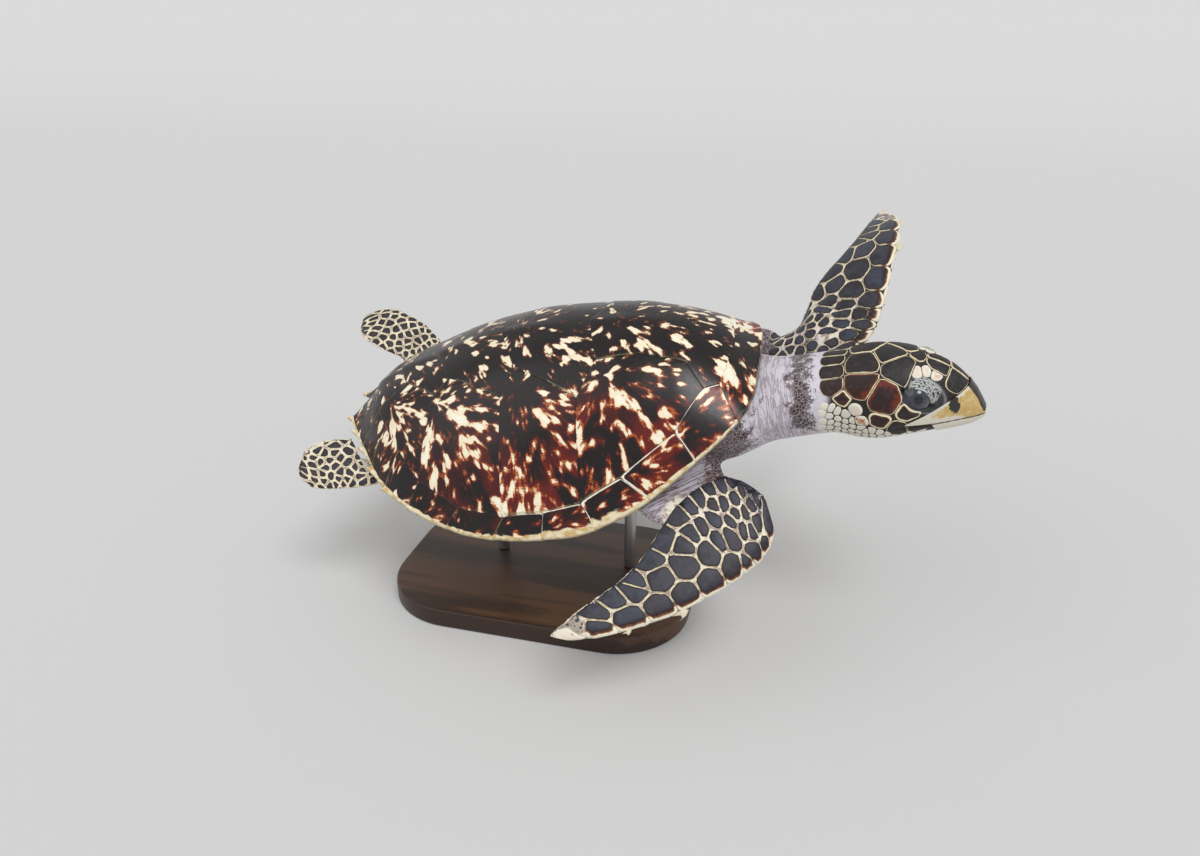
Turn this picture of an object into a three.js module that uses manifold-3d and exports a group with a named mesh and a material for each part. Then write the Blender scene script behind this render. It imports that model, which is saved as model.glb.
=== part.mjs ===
// Hawksbill sea turtle: a still, life-size display model of a young animal,
// swimming, on a flat base with two short rods.
//
// The animal is drawn in its own body frame: +X to the beak, +Y to its left,
// +Z up through the shell, with the origin in the middle of the shell. All
// body measures are fractions of the straight shell length. A group then
// pitches and banks the body and lifts it over the base, whose underside
// centre is the origin of the whole model.

import * as THREE from "three";
import { mergeVertices } from "three/addons/utils/BufferGeometryUtils.js";
import Module from "manifold-3d";

const wasm = await Module();
wasm.setup();

// ---------------------------------------------------------------- dimensions

const SHELL_LENGTH = 340; // straight carapace length, notch to nuchal edge
const BODY_HEIGHT = 178; // shell centre above the underside of the base
const NOSE_UP = 9.2; // degrees the swimming body is pitched up
const BANK = 15.6; // degrees the right side is rolled down

const CUT = 0.3; // width of the thin cuts between neighbouring pieces
const SCUTE_DEPTH = 6; // vertical depth of a shell plate
const PLASTRON_DEPTH = 5; // vertical depth of the belly plate
const SEAT_GAP = 1.9; // room between the plates and the trunk under them
const LIMB_GAP = 3; // room between the plates and the limbs that come from under them
const CHIP_SIZE = 0.02; // edges shorter than this are closed up after a cut

const BASE_LENGTH = 250;
const BASE_WIDTH = 170;
const BASE_THICKNESS = 16;
const BASE_CORNER = 60;
const BASE_BEVEL = 2;
const ROD_RADIUS = 5;
const ROD_STATIONS = [-0.17, 0.17]; // where the rods meet the belly, of the shell length
const ROD_PAD_RADIUS = 13;
const ROD_PAD_HEIGHT = 9;
const ROD_PAD_RISE = 4; // how far the pad is let into the belly plate before it is fitted
const ROD_SIDES = 16;

const DEG = Math.PI / 180;

// ---------------------------------------------------------------- finishes

const FINISH = {
  shell: { color: 0x2b1710, roughness: 0.25, metalness: 0 },
  belly: { color: 0xe2cf94, roughness: 0.4, metalness: 0 },
  skin: { color: 0xd9cfd2, roughness: 0.6, metalness: 0 },
  scales: { color: 0x2e3038, roughness: 0.5, metalness: 0 },
  beak: { color: 0xb98a3a, roughness: 0.35, metalness: 0 },
  eye: { color: 0x15161d, roughness: 0.1, metalness: 0 },
  claw: { color: 0xefe6cf, roughness: 0.4, metalness: 0 },
  base: { color: 0x3a2a20, roughness: 0.5, metalness: 0 },
  rod: { color: 0xb5b8bb, roughness: 0.3, metalness: 1 },
};

const turtle = new THREE.Group();
const model = new THREE.Group();
model.add(turtle);

function addMesh(parent, name, geometry, finish) {
  const mesh = new THREE.Mesh(geometry, new THREE.MeshStandardMaterial(FINISH[finish]));
  mesh.name = name;
  parent.add(mesh);
  return mesh;
}

// ---------------------------------------------------------------- helpers

// A smooth curve through (x, y) stations that never overshoots them.
function curveThrough(stations) {
  const n = stations.length;
  const xs = stations.map((s) => s[0]);
  const ys = stations.map((s) => s[1]);
  const slope = xs.slice(1).map((x, i) => (ys[i + 1] - ys[i]) / (x - xs[i]));
  const tangent = ys.map((_, i) => {
    if (i === 0) return slope[0];
    if (i === n - 1) return slope[n - 2];
    const a = slope[i - 1];
    const b = slope[i];
    return a * b <= 0 ? 0 : (2 * a * b) / (a + b);
  });
  return (x) => {
    const t = THREE.MathUtils.clamp(x, xs[0], xs[n - 1]);
    let i = 0;
    while (i < n - 2 && t > xs[i + 1]) i += 1;
    const h = xs[i + 1] - xs[i];
    const u = (t - xs[i]) / h;
    const v = 1 - u;
    const rise = ys[i] * (1 + 2 * u) * v * v + ys[i + 1] * (3 - 2 * u) * u * u;
    return rise + h * (tangent[i] * u * v * v - tangent[i + 1] * u * u * v);
  };
}

// A point of the body frame, given in shell lengths.
function at(x, y, z) {
  return new THREE.Vector3(x, y, z).multiplyScalar(SHELL_LENGTH);
}

function toGeometry(points, faces) {
  const geometry = new THREE.BufferGeometry();
  geometry.setAttribute("position", new THREE.Float32BufferAttribute(points.flat(), 3));
  geometry.setIndex(faces.flat());
  return geometry;
}

// A closed body through rings of equal size, with a fan over each end. Rings
// run anticlockwise when seen from the last ring towards the first.
function loft(rings) {
  const size = rings[0].length;
  const points = rings.flat().map((p) => [p.x, p.y, p.z]);
  const faces = [];
  for (let r = 0; r < rings.length - 1; r += 1) {
    for (let i = 0; i < size; i += 1) {
      const j = (i + 1) % size;
      const a = r * size;
      const b = a + size;
      faces.push([a + i, a + j, b + j], [a + i, b + j, b + i]);
    }
  }
  const last = (rings.length - 1) * size;
  const ends = [rings[0], rings[rings.length - 1]].map((ring) => {
    const middle = ring.reduce((sum, p) => sum.add(p), new THREE.Vector3());
    return middle.divideScalar(size);
  });
  points.push(...ends.map((p) => [p.x, p.y, p.z]));
  const first = last + size;
  for (let i = 0; i < size; i += 1) {
    const j = (i + 1) % size;
    faces.push([first, j, i], [first + 1, last + i, last + j]);
  }
  return toGeometry(points, faces);
}

function toSolid(geometry) {
  const bare = geometry.clone();
  bare.deleteAttribute("normal");
  bare.deleteAttribute("uv");
  const merged = mergeVertices(bare, 1e-4);
  const solid = new wasm.Manifold(
    new wasm.Mesh({
      numProp: 3,
      vertProperties: merged.getAttribute("position").array,
      triVerts: Uint32Array.from(merged.index.array),
    }),
  );
  return solid.volume() > 0 ? solid : null;
}

// The largest body of a solid, as a geometry. A cut may leave chips behind.
function toMeshGeometry(solid) {
  const bodies = solid.decompose().sort((a, b) => b.volume() - a.volume());
  const mesh = bodies[0].simplify(CHIP_SIZE).getMesh();
  const geometry = new THREE.BufferGeometry();
  geometry.setAttribute("position", new THREE.Float32BufferAttribute(mesh.vertProperties, 3));
  geometry.setIndex(Array.from(mesh.triVerts));
  return geometry;
}

// ---------------------------------------------------------------- shell form

const shellHalfWidth = curveThrough([
  [-0.5, 0.037], [-0.47, 0.085], [-0.42, 0.154], [-0.35, 0.24], [-0.25, 0.305], [-0.12, 0.351],
  [0, 0.368], [0.12, 0.36], [0.24, 0.325], [0.34, 0.274], [0.42, 0.223], [0.47, 0.178], [0.5, 0.121],
]);
const shellRim = curveThrough([
  [-0.5, -0.014], [-0.3, -0.072], [-0.1, -0.11], [0.1, -0.11], [0.25, -0.078], [0.38, -0.014],
  [0.5, 0.051],
]);
const shellRidge = curveThrough([
  [-0.5, -0.014], [-0.45, 0.018], [-0.38, 0.066], [-0.25, 0.115], [-0.1, 0.158], [0.08, 0.179],
  [0.22, 0.179], [0.34, 0.158], [0.43, 0.117], [0.5, 0.051],
]);
const SHELL_ARCH = 2.15; // how square the cross arch of the shell is

function shellHeight(x, y) {
  const across = Math.min(Math.abs(y) / shellHalfWidth(x), 1);
  const rim = shellRim(x);
  return rim + (shellRidge(x) - rim) * (1 - across ** SHELL_ARCH);
}

// ---------------------------------------------------------------- shell plates

// Seam stations, for the left side, front to rear, in shell lengths.
const RIM_SEAMS = [0.47, 0.385, 0.29, 0.175, 0.06, -0.052, -0.17, -0.27, -0.34, -0.392, -0.436, -0.474];
const INNER_SEAMS = [
  [0.435, 0.12], [0.348, 0.216], [0.235, 0.286], [0.15, 0.322], [0.068, 0.336], [-0.022, 0.341],
  [-0.13, 0.318], [-0.232, 0.266], [-0.292, 0.205], [-0.338, 0.15], [-0.372, 0.1], [-0.4, 0.05],
];
const TAIL_NOTCH = [-0.5, 0];
const RUMP = [-0.412, 0]; // where the last vertebral meets the tail plates
const SHOULDER_CORNER = [0.405, 0.139]; // first vertebral, first costal and first marginal
const NUCHAL_BEND = [0.446, 0.082]; // where the rear seam of the nuchal turns outwards
const RIDGE_SEAMS = [0.458, 0.155, -0.055, -0.225, -0.335];
const VERTEBRAL_CORNERS = [[0.185, 0.11], [0.002, 0.115], [-0.168, 0.1], [-0.3, 0.062]];
const COSTAL_CORNERS = [[0.15, 0.18], [-0.022, 0.172], [-0.2, 0.13]];
const SHOULDER_SEAM = [VERTEBRAL_CORNERS[0], [0.28, 0.094], [0.368, 0.096], SHOULDER_CORNER];
const TIP_REACH = 0.011; // how far the rear corner of the hindmost rim plates juts out
const FIRST_TOOTH = 5; // rim plate whose rear corner starts to jut
const EDGE_STEP = 0.066; // longest straight piece of a seam

function shrinkToSeam(outline, inset) {
  const count = outline.length;
  return outline.map((point, i) => {
    const before = outline[(i + count - 1) % count];
    const after = outline[(i + 1) % count];
    const d1 = point.clone().sub(before).normalize();
    const d2 = after.clone().sub(point).normalize();
    const n1 = new THREE.Vector2(-d1.y, d1.x);
    const n2 = new THREE.Vector2(-d2.y, d2.x);
    const bisector = n1.add(n2).normalize();
    const reach = inset / Math.max(0.4, bisector.dot(n2));
    return point.clone().addScaledVector(bisector, reach);
  });
}

function subdivide(corners) {
  const outline = [];
  corners.forEach((corner, i) => {
    const next = corners[(i + 1) % corners.length];
    const a = new THREE.Vector2(...corner);
    const b = new THREE.Vector2(...next);
    const steps = Math.max(1, Math.ceil(a.distanceTo(b) / EDGE_STEP));
    for (let s = 0; s < steps; s += 1) outline.push(a.clone().lerp(b, s / steps));
  });
  return outline;
}

// A plate with the plan outline given (anticlockwise from above), its top on
// one height function and its underside on another.
function plate(outline, topHeight, lowHeight) {
  const edge = shrinkToSeam(outline.map((p) => p.clone().multiplyScalar(SHELL_LENGTH)), CUT / 2);
  const middle = edge.reduce((sum, p) => sum.add(p), new THREE.Vector2()).divideScalar(edge.length);
  const rings = [edge, edge.map((p) => p.clone().lerp(middle, 0.5))];
  const plan = [...rings.flat(), middle];
  const count = edge.length;
  const tops = plan.map((p) => [p.x, p.y, topHeight(p.x, p.y)]);
  const lows = plan.map((p) => [p.x, p.y, lowHeight(p.x, p.y)]);
  const under = plan.length;
  const faces = [];
  const both = (a, b, c) => faces.push([a, b, c], [under + a, under + c, under + b]);
  for (let i = 0; i < count; i += 1) {
    const j = (i + 1) % count;
    both(i, j, count + j);
    both(i, count + j, count + i);
    both(count + i, count + j, 2 * count);
    faces.push([i, under + i, under + j], [i, under + j, j]);
  }
  return toGeometry([...tops, ...lows], faces);
}

function scuteTop(x, y) {
  return shellHeight(x / SHELL_LENGTH, y / SHELL_LENGTH) * SHELL_LENGTH;
}

function scuteLow(x, y) {
  return scuteTop(x, y) - SCUTE_DEPTH;
}

function addScute(name, corners) {
  const outline = subdivide(corners);
  addMesh(turtle, name, plate(outline, scuteTop, scuteLow), "shell");
}

function mirrored(corners) {
  return corners.map(([x, y]) => [x, -y]).reverse();
}

const SIDES = [["left", (corners) => corners], ["right", mirrored]];

function addPair(label, index, corners) {
  SIDES.forEach(([side, turn]) => addScute(`${label}_${side}_${index}`, turn(corners)));
}

// The rim between two seam stations, with a backward tooth on the rear plates.
function rimEdge(index) {
  const front = RIM_SEAMS[index];
  const rear = index + 1 < RIM_SEAMS.length ? RIM_SEAMS[index + 1] : TAIL_NOTCH[0];
  const tooth = TIP_REACH * THREE.MathUtils.clamp((index - FIRST_TOOTH) / 3, 0, 1);
  const points = [0, 1 / 3, 2 / 3].map((t) => {
    const x = THREE.MathUtils.lerp(front, rear, t);
    return [x, shellHalfWidth(x) + tooth * t * 0.7];
  });
  const tip = [rear - tooth * 0.6, shellHalfWidth(rear) + tooth];
  return [...points, tip];
}

function addNuchal() {
  const half = [
    [RIDGE_SEAMS[0], 0], NUCHAL_BEND, INNER_SEAMS[0],
    [RIM_SEAMS[0], shellHalfWidth(RIM_SEAMS[0])], [0.488, 0.15], [0.498, 0.11], [0.5, 0.055],
  ].reverse();
  const other = half.slice(0, -1).map(([x, y]) => [x, -y]).reverse();
  addScute("nuchal_scute", [[0.5, 0], ...half, ...other]);
}

function addVertebrals() {
  const sides = [
    [NUCHAL_BEND, INNER_SEAMS[0], ...SHOULDER_SEAM.slice().reverse()],
    [VERTEBRAL_CORNERS[0], COSTAL_CORNERS[0], VERTEBRAL_CORNERS[1]],
    [VERTEBRAL_CORNERS[1], COSTAL_CORNERS[1], VERTEBRAL_CORNERS[2]],
    [VERTEBRAL_CORNERS[2], COSTAL_CORNERS[2], VERTEBRAL_CORNERS[3]],
    [VERTEBRAL_CORNERS[3], INNER_SEAMS[10], INNER_SEAMS[11]],
  ];
  sides.forEach((side, i) => {
    const rear = i + 1 < RIDGE_SEAMS.length ? [RIDGE_SEAMS[i + 1], 0] : RUMP;
    const far = side.map(([x, y]) => [x, -y]).reverse();
    addScute(`vertebral_scute_${i + 1}`, [[RIDGE_SEAMS[i], 0], ...side, rear, ...far]);
  });
}

function addCostals() {
  const corners = [
    [COSTAL_CORNERS[0], ...SHOULDER_SEAM, ...INNER_SEAMS.slice(1, 4)],
    [COSTAL_CORNERS[1], VERTEBRAL_CORNERS[1], COSTAL_CORNERS[0], ...INNER_SEAMS.slice(3, 6)],
    [COSTAL_CORNERS[2], VERTEBRAL_CORNERS[2], COSTAL_CORNERS[1], ...INNER_SEAMS.slice(5, 8)],
    [VERTEBRAL_CORNERS[3], COSTAL_CORNERS[2], ...INNER_SEAMS.slice(7, 11)],
  ];
  corners.forEach((side, i) => addPair("costal_scute", i + 1, side));
}

function addMarginals() {
  RIM_SEAMS.forEach((_, i) => {
    const inner = i + 1 < INNER_SEAMS.length ? [INNER_SEAMS[i + 1]] : [RUMP];
    if (i === 0) inner.push(SHOULDER_CORNER);
    inner.push(INNER_SEAMS[i]);
    addPair("marginal_scute", i + 1, [...inner, ...rimEdge(i)]);
  });
}

// ---------------------------------------------------------------- belly plate

const PLASTRON_REACH = curveThrough([
  [-0.4, 0.05], [-0.36, 0.13], [-0.24, 0.19], [-0.17, 0.3], [0, 0.335], [0.16, 0.32], [0.22, 0.2],
  [0.32, 0.17], [0.38, 0.07],
]); // half width of the belly plate
const BELLY_DEPTH = curveThrough([
  [-0.46, -0.09], [-0.4, -0.125], [-0.2, -0.178], [0, -0.19], [0.2, -0.178], [0.38, -0.13],
  [0.44, -0.11],
]); // underside of the belly plate along the middle
const BRIDGE_START = 0.5; // share of the half width where the belly turns up to the rim
const BRIDGE_DROP = 0.052; // how far the bridge stays below the shell arch
const PLASTRON_STATIONS = 12;
const CROSS_SHARES = [0, 0.28, 0.55, 0.8, 1]; // of the half width of a slab

function bellyHeight(x, y) {
  const middle = BELLY_DEPTH(x);
  const width = shellHalfWidth(x);
  const turn = THREE.MathUtils.smoothstep(Math.abs(y) / width, BRIDGE_START, 1);
  const edge = shellHeight(x, Math.min(Math.abs(y), 0.93 * width)) - BRIDGE_DROP;
  return middle + (Math.max(edge, middle) - middle) * turn;
}

function bellyLow(x, y) {
  return bellyHeight(x / SHELL_LENGTH, y / SHELL_LENGTH) * SHELL_LENGTH;
}

// A slab through rings of plan stations, from one height function to another.
function slab(reach, from, to, grow, top, low, shares = CROSS_SHARES) {
  const rings = [];
  for (let i = 0; i < PLASTRON_STATIONS; i += 1) {
    const t = (1 - Math.cos((Math.PI * i) / (PLASTRON_STATIONS - 1))) / 2;
    const x = THREE.MathUtils.lerp(from, to, t);
    const half = reach(x) * SHELL_LENGTH + grow;
    const place = x * SHELL_LENGTH + (t === 0 ? -grow : 0) + (t === 1 ? grow : 0);
    const across = [...shares.slice(1).map((f) => -f).reverse(), ...shares].map((f) => f * half);
    const upper = across.map((y) => new THREE.Vector3(place, y, top(x * SHELL_LENGTH, y) + grow));
    const lower = across.map((y) => new THREE.Vector3(place, y, low(x * SHELL_LENGTH, y) - grow));
    rings.push([...lower, ...upper.reverse()]);
  }
  return loft(rings);
}

function plastronForm(grow) {
  const bellyTop = (x, y) => bellyLow(x, y) + PLASTRON_DEPTH;
  return slab(PLASTRON_REACH, -0.4, 0.38, grow, bellyTop, bellyLow);
}

// ---------------------------------------------------------------- trunk

const TRUNK_FRONT = 0.43;
const TRUNK_REAR = -0.43;
const TRUNK_SHARE = curveThrough([
  [-0.43, 0.5], [-0.3, 0.66], [-0.16, 0.88], [0.43, 0.88],
]); // of the shell half width

// Grown, it gets more room above and below than at its sides, as those slope.
function trunkForm(grow) {
  const reach = (x) => shellHalfWidth(x) * TRUNK_SHARE(x);
  const top = (x, y) => scuteLow(x, y) - SEAT_GAP + 2 * grow;
  const low = (x, y) => bellyLow(x, y) + PLASTRON_DEPTH + SEAT_GAP - 2 * grow;
  return toSolid(slab(reach, TRUNK_REAR, TRUNK_FRONT, grow, top, low));
}

const ROOM_SPREAD = 1.2; // reach of the room round the shell, of the shell half width
const ROOM_HEADROOM = 40;

// The room that the shell takes, for cutting the flesh under it.
function shellRoom() {
  const reach = (x) => shellHalfWidth(x) * ROOM_SPREAD;
  const top = (x, y) => scuteTop(x, y) + ROOM_HEADROOM;
  const low = (x, y) => scuteLow(x, y) - LIMB_GAP;
  return toSolid(slab(reach, -0.53, 0.503, 0, top, low, [0, 0.3, 0.6, 1 / ROOM_SPREAD, 1]));
}

// ---------------------------------------------------------------- round limbs

const RING_SIDES = 14;

// A ring about a point: half extents along two directions, where the second
// may differ above and below. A power over 2 squares the ring off.
function ringAbout(centre, side, up, half, above, below, power = 2, sides = RING_SIDES) {
  const ring = [];
  for (let i = 0; i < sides; i += 1) {
    const angle = ((i + 0.5) / sides) * 2 * Math.PI;
    const c = Math.cos(angle);
    const s = Math.sin(angle);
    const reach = 1 / (Math.abs(c) ** power + Math.abs(s) ** power) ** (1 / power);
    const rise = s > 0 ? above : below;
    const point = centre.clone().addScaledVector(side, c * reach * half);
    ring.push(point.addScaledVector(up, s * reach * rise));
  }
  return ring;
}

// ---------------------------------------------------------------- head and neck

const HEAD_BACK = at(0.678, -0.003, -0.036);
const HEAD_TIP = at(0.947, -0.048, -0.067);
const HEAD_LENGTH = HEAD_BACK.distanceTo(HEAD_TIP);
const HEAD_SIDES = 24;
const HEAD_SQUARENESS = 2.25;

// Head measures are fractions of the head length, from the nape (0) to the
// tip of the beak (1), about a line from the nape to the tip.
const headHalfWidth = curveThrough([
  [-0.12, 0.3], [0, 0.335], [0.15, 0.365], [0.32, 0.37], [0.5, 0.325], [0.68, 0.25], [0.82, 0.168],
  [0.93, 0.1], [1, 0.045],
]);
const headTop = curveThrough([
  [-0.12, 0.28], [0, 0.35], [0.15, 0.4], [0.32, 0.425], [0.5, 0.42], [0.68, 0.375], [0.82, 0.29],
  [0.93, 0.16], [1, 0.03],
]);
const headBottom = curveThrough([
  [-0.12, 0.3], [0, 0.33], [0.2, 0.325], [0.4, 0.25], [0.6, 0.18], [0.8, 0.145], [0.93, 0.11],
  [1, 0.05],
]);
const headForward = HEAD_TIP.clone().sub(HEAD_BACK).normalize();
const headLeft = new THREE.Vector3(0, 0, 1).cross(headForward).normalize();
const headUp = headForward.clone().cross(headLeft).normalize();

const MOUTH_HEIGHT = 0.0; // of the mouth line about the head line
const MOUTH_CORNER = 0.43; // how far forward the jaw starts
const JAW_TIP = 0.9; // the beak hooks down ahead of this
const BEAK_START = 0.73; // the horny bill covers the snout ahead of this
const JAW_BEAK_START = 0.7;
const EYE_STATION = 0.5;
const EYE_ANGLE = 34; // degrees above the mouth line, seen from the front
const EYE_RADIUS = 0.145;
const EYE_SINK = 0.72; // depth of the eye centre under the cheek, of the radius

function headPoint(forward, left, up) {
  return HEAD_BACK.clone()
    .addScaledVector(headForward, forward * HEAD_LENGTH)
    .addScaledVector(headLeft, left * HEAD_LENGTH)
    .addScaledVector(headUp, up * HEAD_LENGTH);
}

function headRing(station, grow = 0) {
  const half = headHalfWidth(station) * HEAD_LENGTH + grow;
  const above = headTop(station) * HEAD_LENGTH + grow;
  const below = headBottom(station) * HEAD_LENGTH + grow;
  const middle = headPoint(station, 0, 0);
  return ringAbout(middle, headLeft, headUp, half, above, below, HEAD_SQUARENESS, HEAD_SIDES);
}

function headForm() {
  const stations = [0, 0.08, 0.18, 0.3, 0.42, 0.54, 0.66, 0.76, 0.85, 0.92, 0.97, 1];
  return toSolid(loft(stations.map((s) => headRing(s))));
}

// A box in head measures, turned and placed with the head.
function headBox(from, to, low, high) {
  const sizes = [to - from, 1.6, high - low].map((f) => f * HEAD_LENGTH);
  const box = new THREE.BoxGeometry(...sizes);
  const basis = new THREE.Matrix4().makeBasis(headForward, headLeft, headUp);
  basis.setPosition(headPoint((from + to) / 2, 0, (low + high) / 2));
  return toSolid(box.applyMatrix4(basis));
}

function eyeCentre(side) {
  const angle = EYE_ANGLE * DEG;
  const c = Math.cos(angle);
  const s = Math.sin(angle);
  const reach = 1 / (c ** HEAD_SQUARENESS + s ** HEAD_SQUARENESS) ** (1 / HEAD_SQUARENESS);
  const sink = EYE_RADIUS * EYE_SINK;
  const left = c * (reach * headHalfWidth(EYE_STATION) - sink);
  const up = s * (reach * headTop(EYE_STATION) - sink);
  return headPoint(EYE_STATION, side * left, up);
}

function eyeForm(side, grow) {
  const ball = new THREE.SphereGeometry(EYE_RADIUS * HEAD_LENGTH + grow, 12, 8);
  const middle = eyeCentre(side);
  return ball.translate(middle.x, middle.y, middle.z);
}

function addHead() {
  const cut = CUT / 2 / HEAD_LENGTH;
  const jawRoom = headBox(MOUTH_CORNER - cut, JAW_TIP + cut, -1, MOUTH_HEIGHT + cut);
  const jawBox = headBox(MOUTH_CORNER + cut, JAW_TIP - cut, -1, MOUTH_HEIGHT - cut);
  const whole = headForm();
  const sockets = toSolid(eyeForm(1, CUT)).add(toSolid(eyeForm(-1, CUT)));
  const skull = whole.subtract(jawRoom).subtract(sockets);
  const jaw = whole.intersect(jawBox).subtract(sockets);
  const billRoom = headBox(BEAK_START - cut, 2, -1, 1);
  const bill = headBox(BEAK_START + cut, 2, -1, 1);
  const jawBillRoom = headBox(JAW_BEAK_START - cut, 2, -1, 1);
  const jawBill = headBox(JAW_BEAK_START + cut, 2, -1, 1);
  addMesh(turtle, "head", toMeshGeometry(skull.subtract(billRoom)), "scales");
  addMesh(turtle, "lower_jaw", toMeshGeometry(jaw.subtract(jawBillRoom)), "beak");
  addMesh(turtle, "upper_beak", toMeshGeometry(skull.intersect(bill)), "beak");
  addMesh(turtle, "lower_beak", toMeshGeometry(jaw.intersect(jawBill)), "beak");
  addMesh(turtle, "eye_left", eyeForm(1, 0), "eye");
  addMesh(turtle, "eye_right", eyeForm(-1, 0), "eye");
}

const NECK_ROOT = at(0.4, 0, -0.05);
const NECK_STATIONS = 7;

// The neck runs from inside the shell mouth to the nape.
function neckForm(grow) {
  const end = headPoint(0, 0, 0).addScaledVector(headForward, -CUT);
  const path = new THREE.CatmullRomCurve3([NECK_ROOT, at(0.52, 0, -0.05), end]);
  const half = curveThrough([[0, 0.17], [0.25, 0.145], [0.55, 0.102], [1, 0.092]]);
  const above = curveThrough([[0, 0.09], [0.35, 0.085], [0.7, 0.09], [1, 0.096]]);
  const below = curveThrough([[0, 0.1], [0.2, 0.115], [0.35, 0.103], [0.55, 0.09], [1, 0.09]]);
  const rings = [];
  for (let i = 0; i < NECK_STATIONS; i += 1) {
    const t = i / (NECK_STATIONS - 1);
    const forward = new THREE.Vector3(1, 0, 0).lerp(headForward, t).normalize();
    const left = new THREE.Vector3(0, 0, 1).cross(forward).normalize();
    const up = forward.clone().cross(left);
    const sizes = [half(t), above(t), below(t)].map((f) => f * SHELL_LENGTH + grow);
    rings.push(ringAbout(path.getPoint(t), left, up, ...sizes, 2, 20));
  }
  return toSolid(loft(rings));
}

// ---------------------------------------------------------------- flippers

// A paddle lies along a bent spine, with its breadth along the chord. Its
// leading and trailing edges are fractions of the paddle length.
const FORE_PADDLE = {
  lead: curveThrough([
    [-0.16, 0.03], [-0.13, 0.14], [-0.07, 0.21], [0.02, 0.25], [0.25, 0.265], [0.45, 0.25],
    [0.64, 0.21], [0.81, 0.148], [0.93, 0.08], [1, 0.012],
  ]),
  trail: curveThrough([
    [-0.16, -0.03], [-0.13, -0.12], [-0.05, -0.2], [0.1, -0.21], [0.25, -0.17], [0.36, -0.115],
    [0.47, -0.062], [0.62, -0.03], [0.83, -0.028], [1, -0.012],
  ]),
  thick: curveThrough([[-0.16, 0.03], [0, 0.062], [0.25, 0.05], [0.6, 0.033], [1, 0.012]]),
  stations: [-0.16, -0.12, -0.06, 0.03, 0.14, 0.26, 0.38, 0.5, 0.62, 0.74, 0.85, 0.94, 1],
};
const HIND_PADDLE = {
  lead: curveThrough([[-0.3, 0.2], [0, 0.34], [0.35, 0.4], [0.7, 0.38], [0.9, 0.26], [1, 0.08]]),
  trail: curveThrough([
    [-0.3, -0.12], [0, -0.2], [0.35, -0.3], [0.7, -0.32], [0.9, -0.23], [1, -0.06],
  ]),
  thick: curveThrough([[-0.3, 0.13], [0.1, 0.095], [0.6, 0.05], [1, 0.02]]),
  stations: [-0.3, -0.12, 0.08, 0.28, 0.48, 0.66, 0.8, 0.9, 0.96, 1],
};

function direction(x, y, z) {
  return new THREE.Vector3(x, y, z).normalize();
}

// The arm starts under the shell, with its breadth along "across", and ends
// slantwise in the root of the paddle.
const FLIPPERS = {
  fore_flipper_right: {
    paddle: FORE_PADDLE,
    arm: [at(0.27, -0.12, -0.11), at(0.34, -0.21, -0.125)],
    across: direction(1, 0, 0),
    shoulder: [0.13, 0.06],
    spine: [at(0.454, -0.286, -0.125), at(0.264, -0.434, -0.146), at(0.106, -0.563, -0.178)],
    chord: direction(0.55, -0.6, -0.6),
  },
  fore_flipper_left: {
    paddle: FORE_PADDLE,
    arm: [at(0.3, 0.13, -0.09), at(0.46, 0.19, -0.12)],
    across: direction(0.6, -0.8, 0),
    shoulder: [0.1, 0.06],
    spine: [at(0.63, 0.234, -0.053), at(0.681, 0.423, 0.039), at(0.755, 0.691, 0.017)],
    chord: direction(0.88, -0.38, 0.27),
  },
  hind_flipper_right: {
    paddle: HIND_PADDLE,
    arm: [at(-0.25, -0.1, -0.09), at(-0.33, -0.13, -0.08)],
    across: direction(0.3, -0.95, 0),
    shoulder: [0.06, 0.045],
    spine: [at(-0.4, -0.15, -0.063), at(-0.492, -0.178, -0.037), at(-0.573, -0.225, -0.034)],
    chord: direction(0.3, -0.8, -0.6),
  },
  hind_flipper_left: {
    paddle: HIND_PADDLE,
    arm: [at(-0.24, 0.1, -0.1), at(-0.36, 0.19, -0.115)],
    across: direction(0.63, 0.77, 0),
    shoulder: [0.06, 0.045],
    spine: [at(-0.43, 0.255, -0.04), at(-0.51, 0.283, 0.008), at(-0.604, 0.312, 0.047)],
    chord: direction(0.3, 0.92, 0.2),
  },
};
const BLADE_SIDES = 12;
const ARM_SIDES = 14;
const ARM_STATIONS = 5;
const ARM_LEAD = -0.08; // paddle stations where the arm ends, at the leading edge
const ARM_TRAIL = 0.22; // and at the trailing edge
const ARM_FIT = 0.85; // breadth of the arm's end, of the paddle there

// The spine point, forward direction, chord and normal at a paddle station.
function paddleFrame(pose, station) {
  const path = new THREE.CatmullRomCurve3(pose.spine, false, "centripetal");
  const t = THREE.MathUtils.clamp(station, 0, 1);
  const forward = path.getTangentAt(t);
  const length = path.getLength();
  const centre = path.getPointAt(t).addScaledVector(forward, (station - t) * length);
  const chord = pose.chord.clone();
  chord.addScaledVector(forward, -chord.dot(forward)).normalize();
  const normal = forward.clone().cross(chord).normalize();
  return { centre, forward, chord, normal, length };
}

function paddleRing(pose, station) {
  const { centre, chord, normal, length } = paddleFrame(pose, station);
  const lead = pose.paddle.lead(station) * length;
  const trail = pose.paddle.trail(station) * length;
  const thick = pose.paddle.thick(station) * length;
  const ring = [];
  for (let i = 0; i < BLADE_SIDES; i += 1) {
    const angle = ((i + 0.5) / BLADE_SIDES) * 2 * Math.PI;
    const across = Math.cos(angle);
    const offset = (lead + trail) / 2 + (across * (lead - trail)) / 2;
    const depth = Math.sin(angle) * thick * (0.68 + 0.32 * across);
    const point = centre.clone().addScaledVector(chord, offset);
    ring.push(point.addScaledVector(normal, depth));
  }
  return ring;
}

// A point on the edge of a paddle, by its leading or trailing curve.
function paddleEdge(pose, edge, station) {
  const { centre, chord, length } = paddleFrame(pose, station);
  return centre.addScaledVector(chord, edge(station) * length);
}

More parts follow.
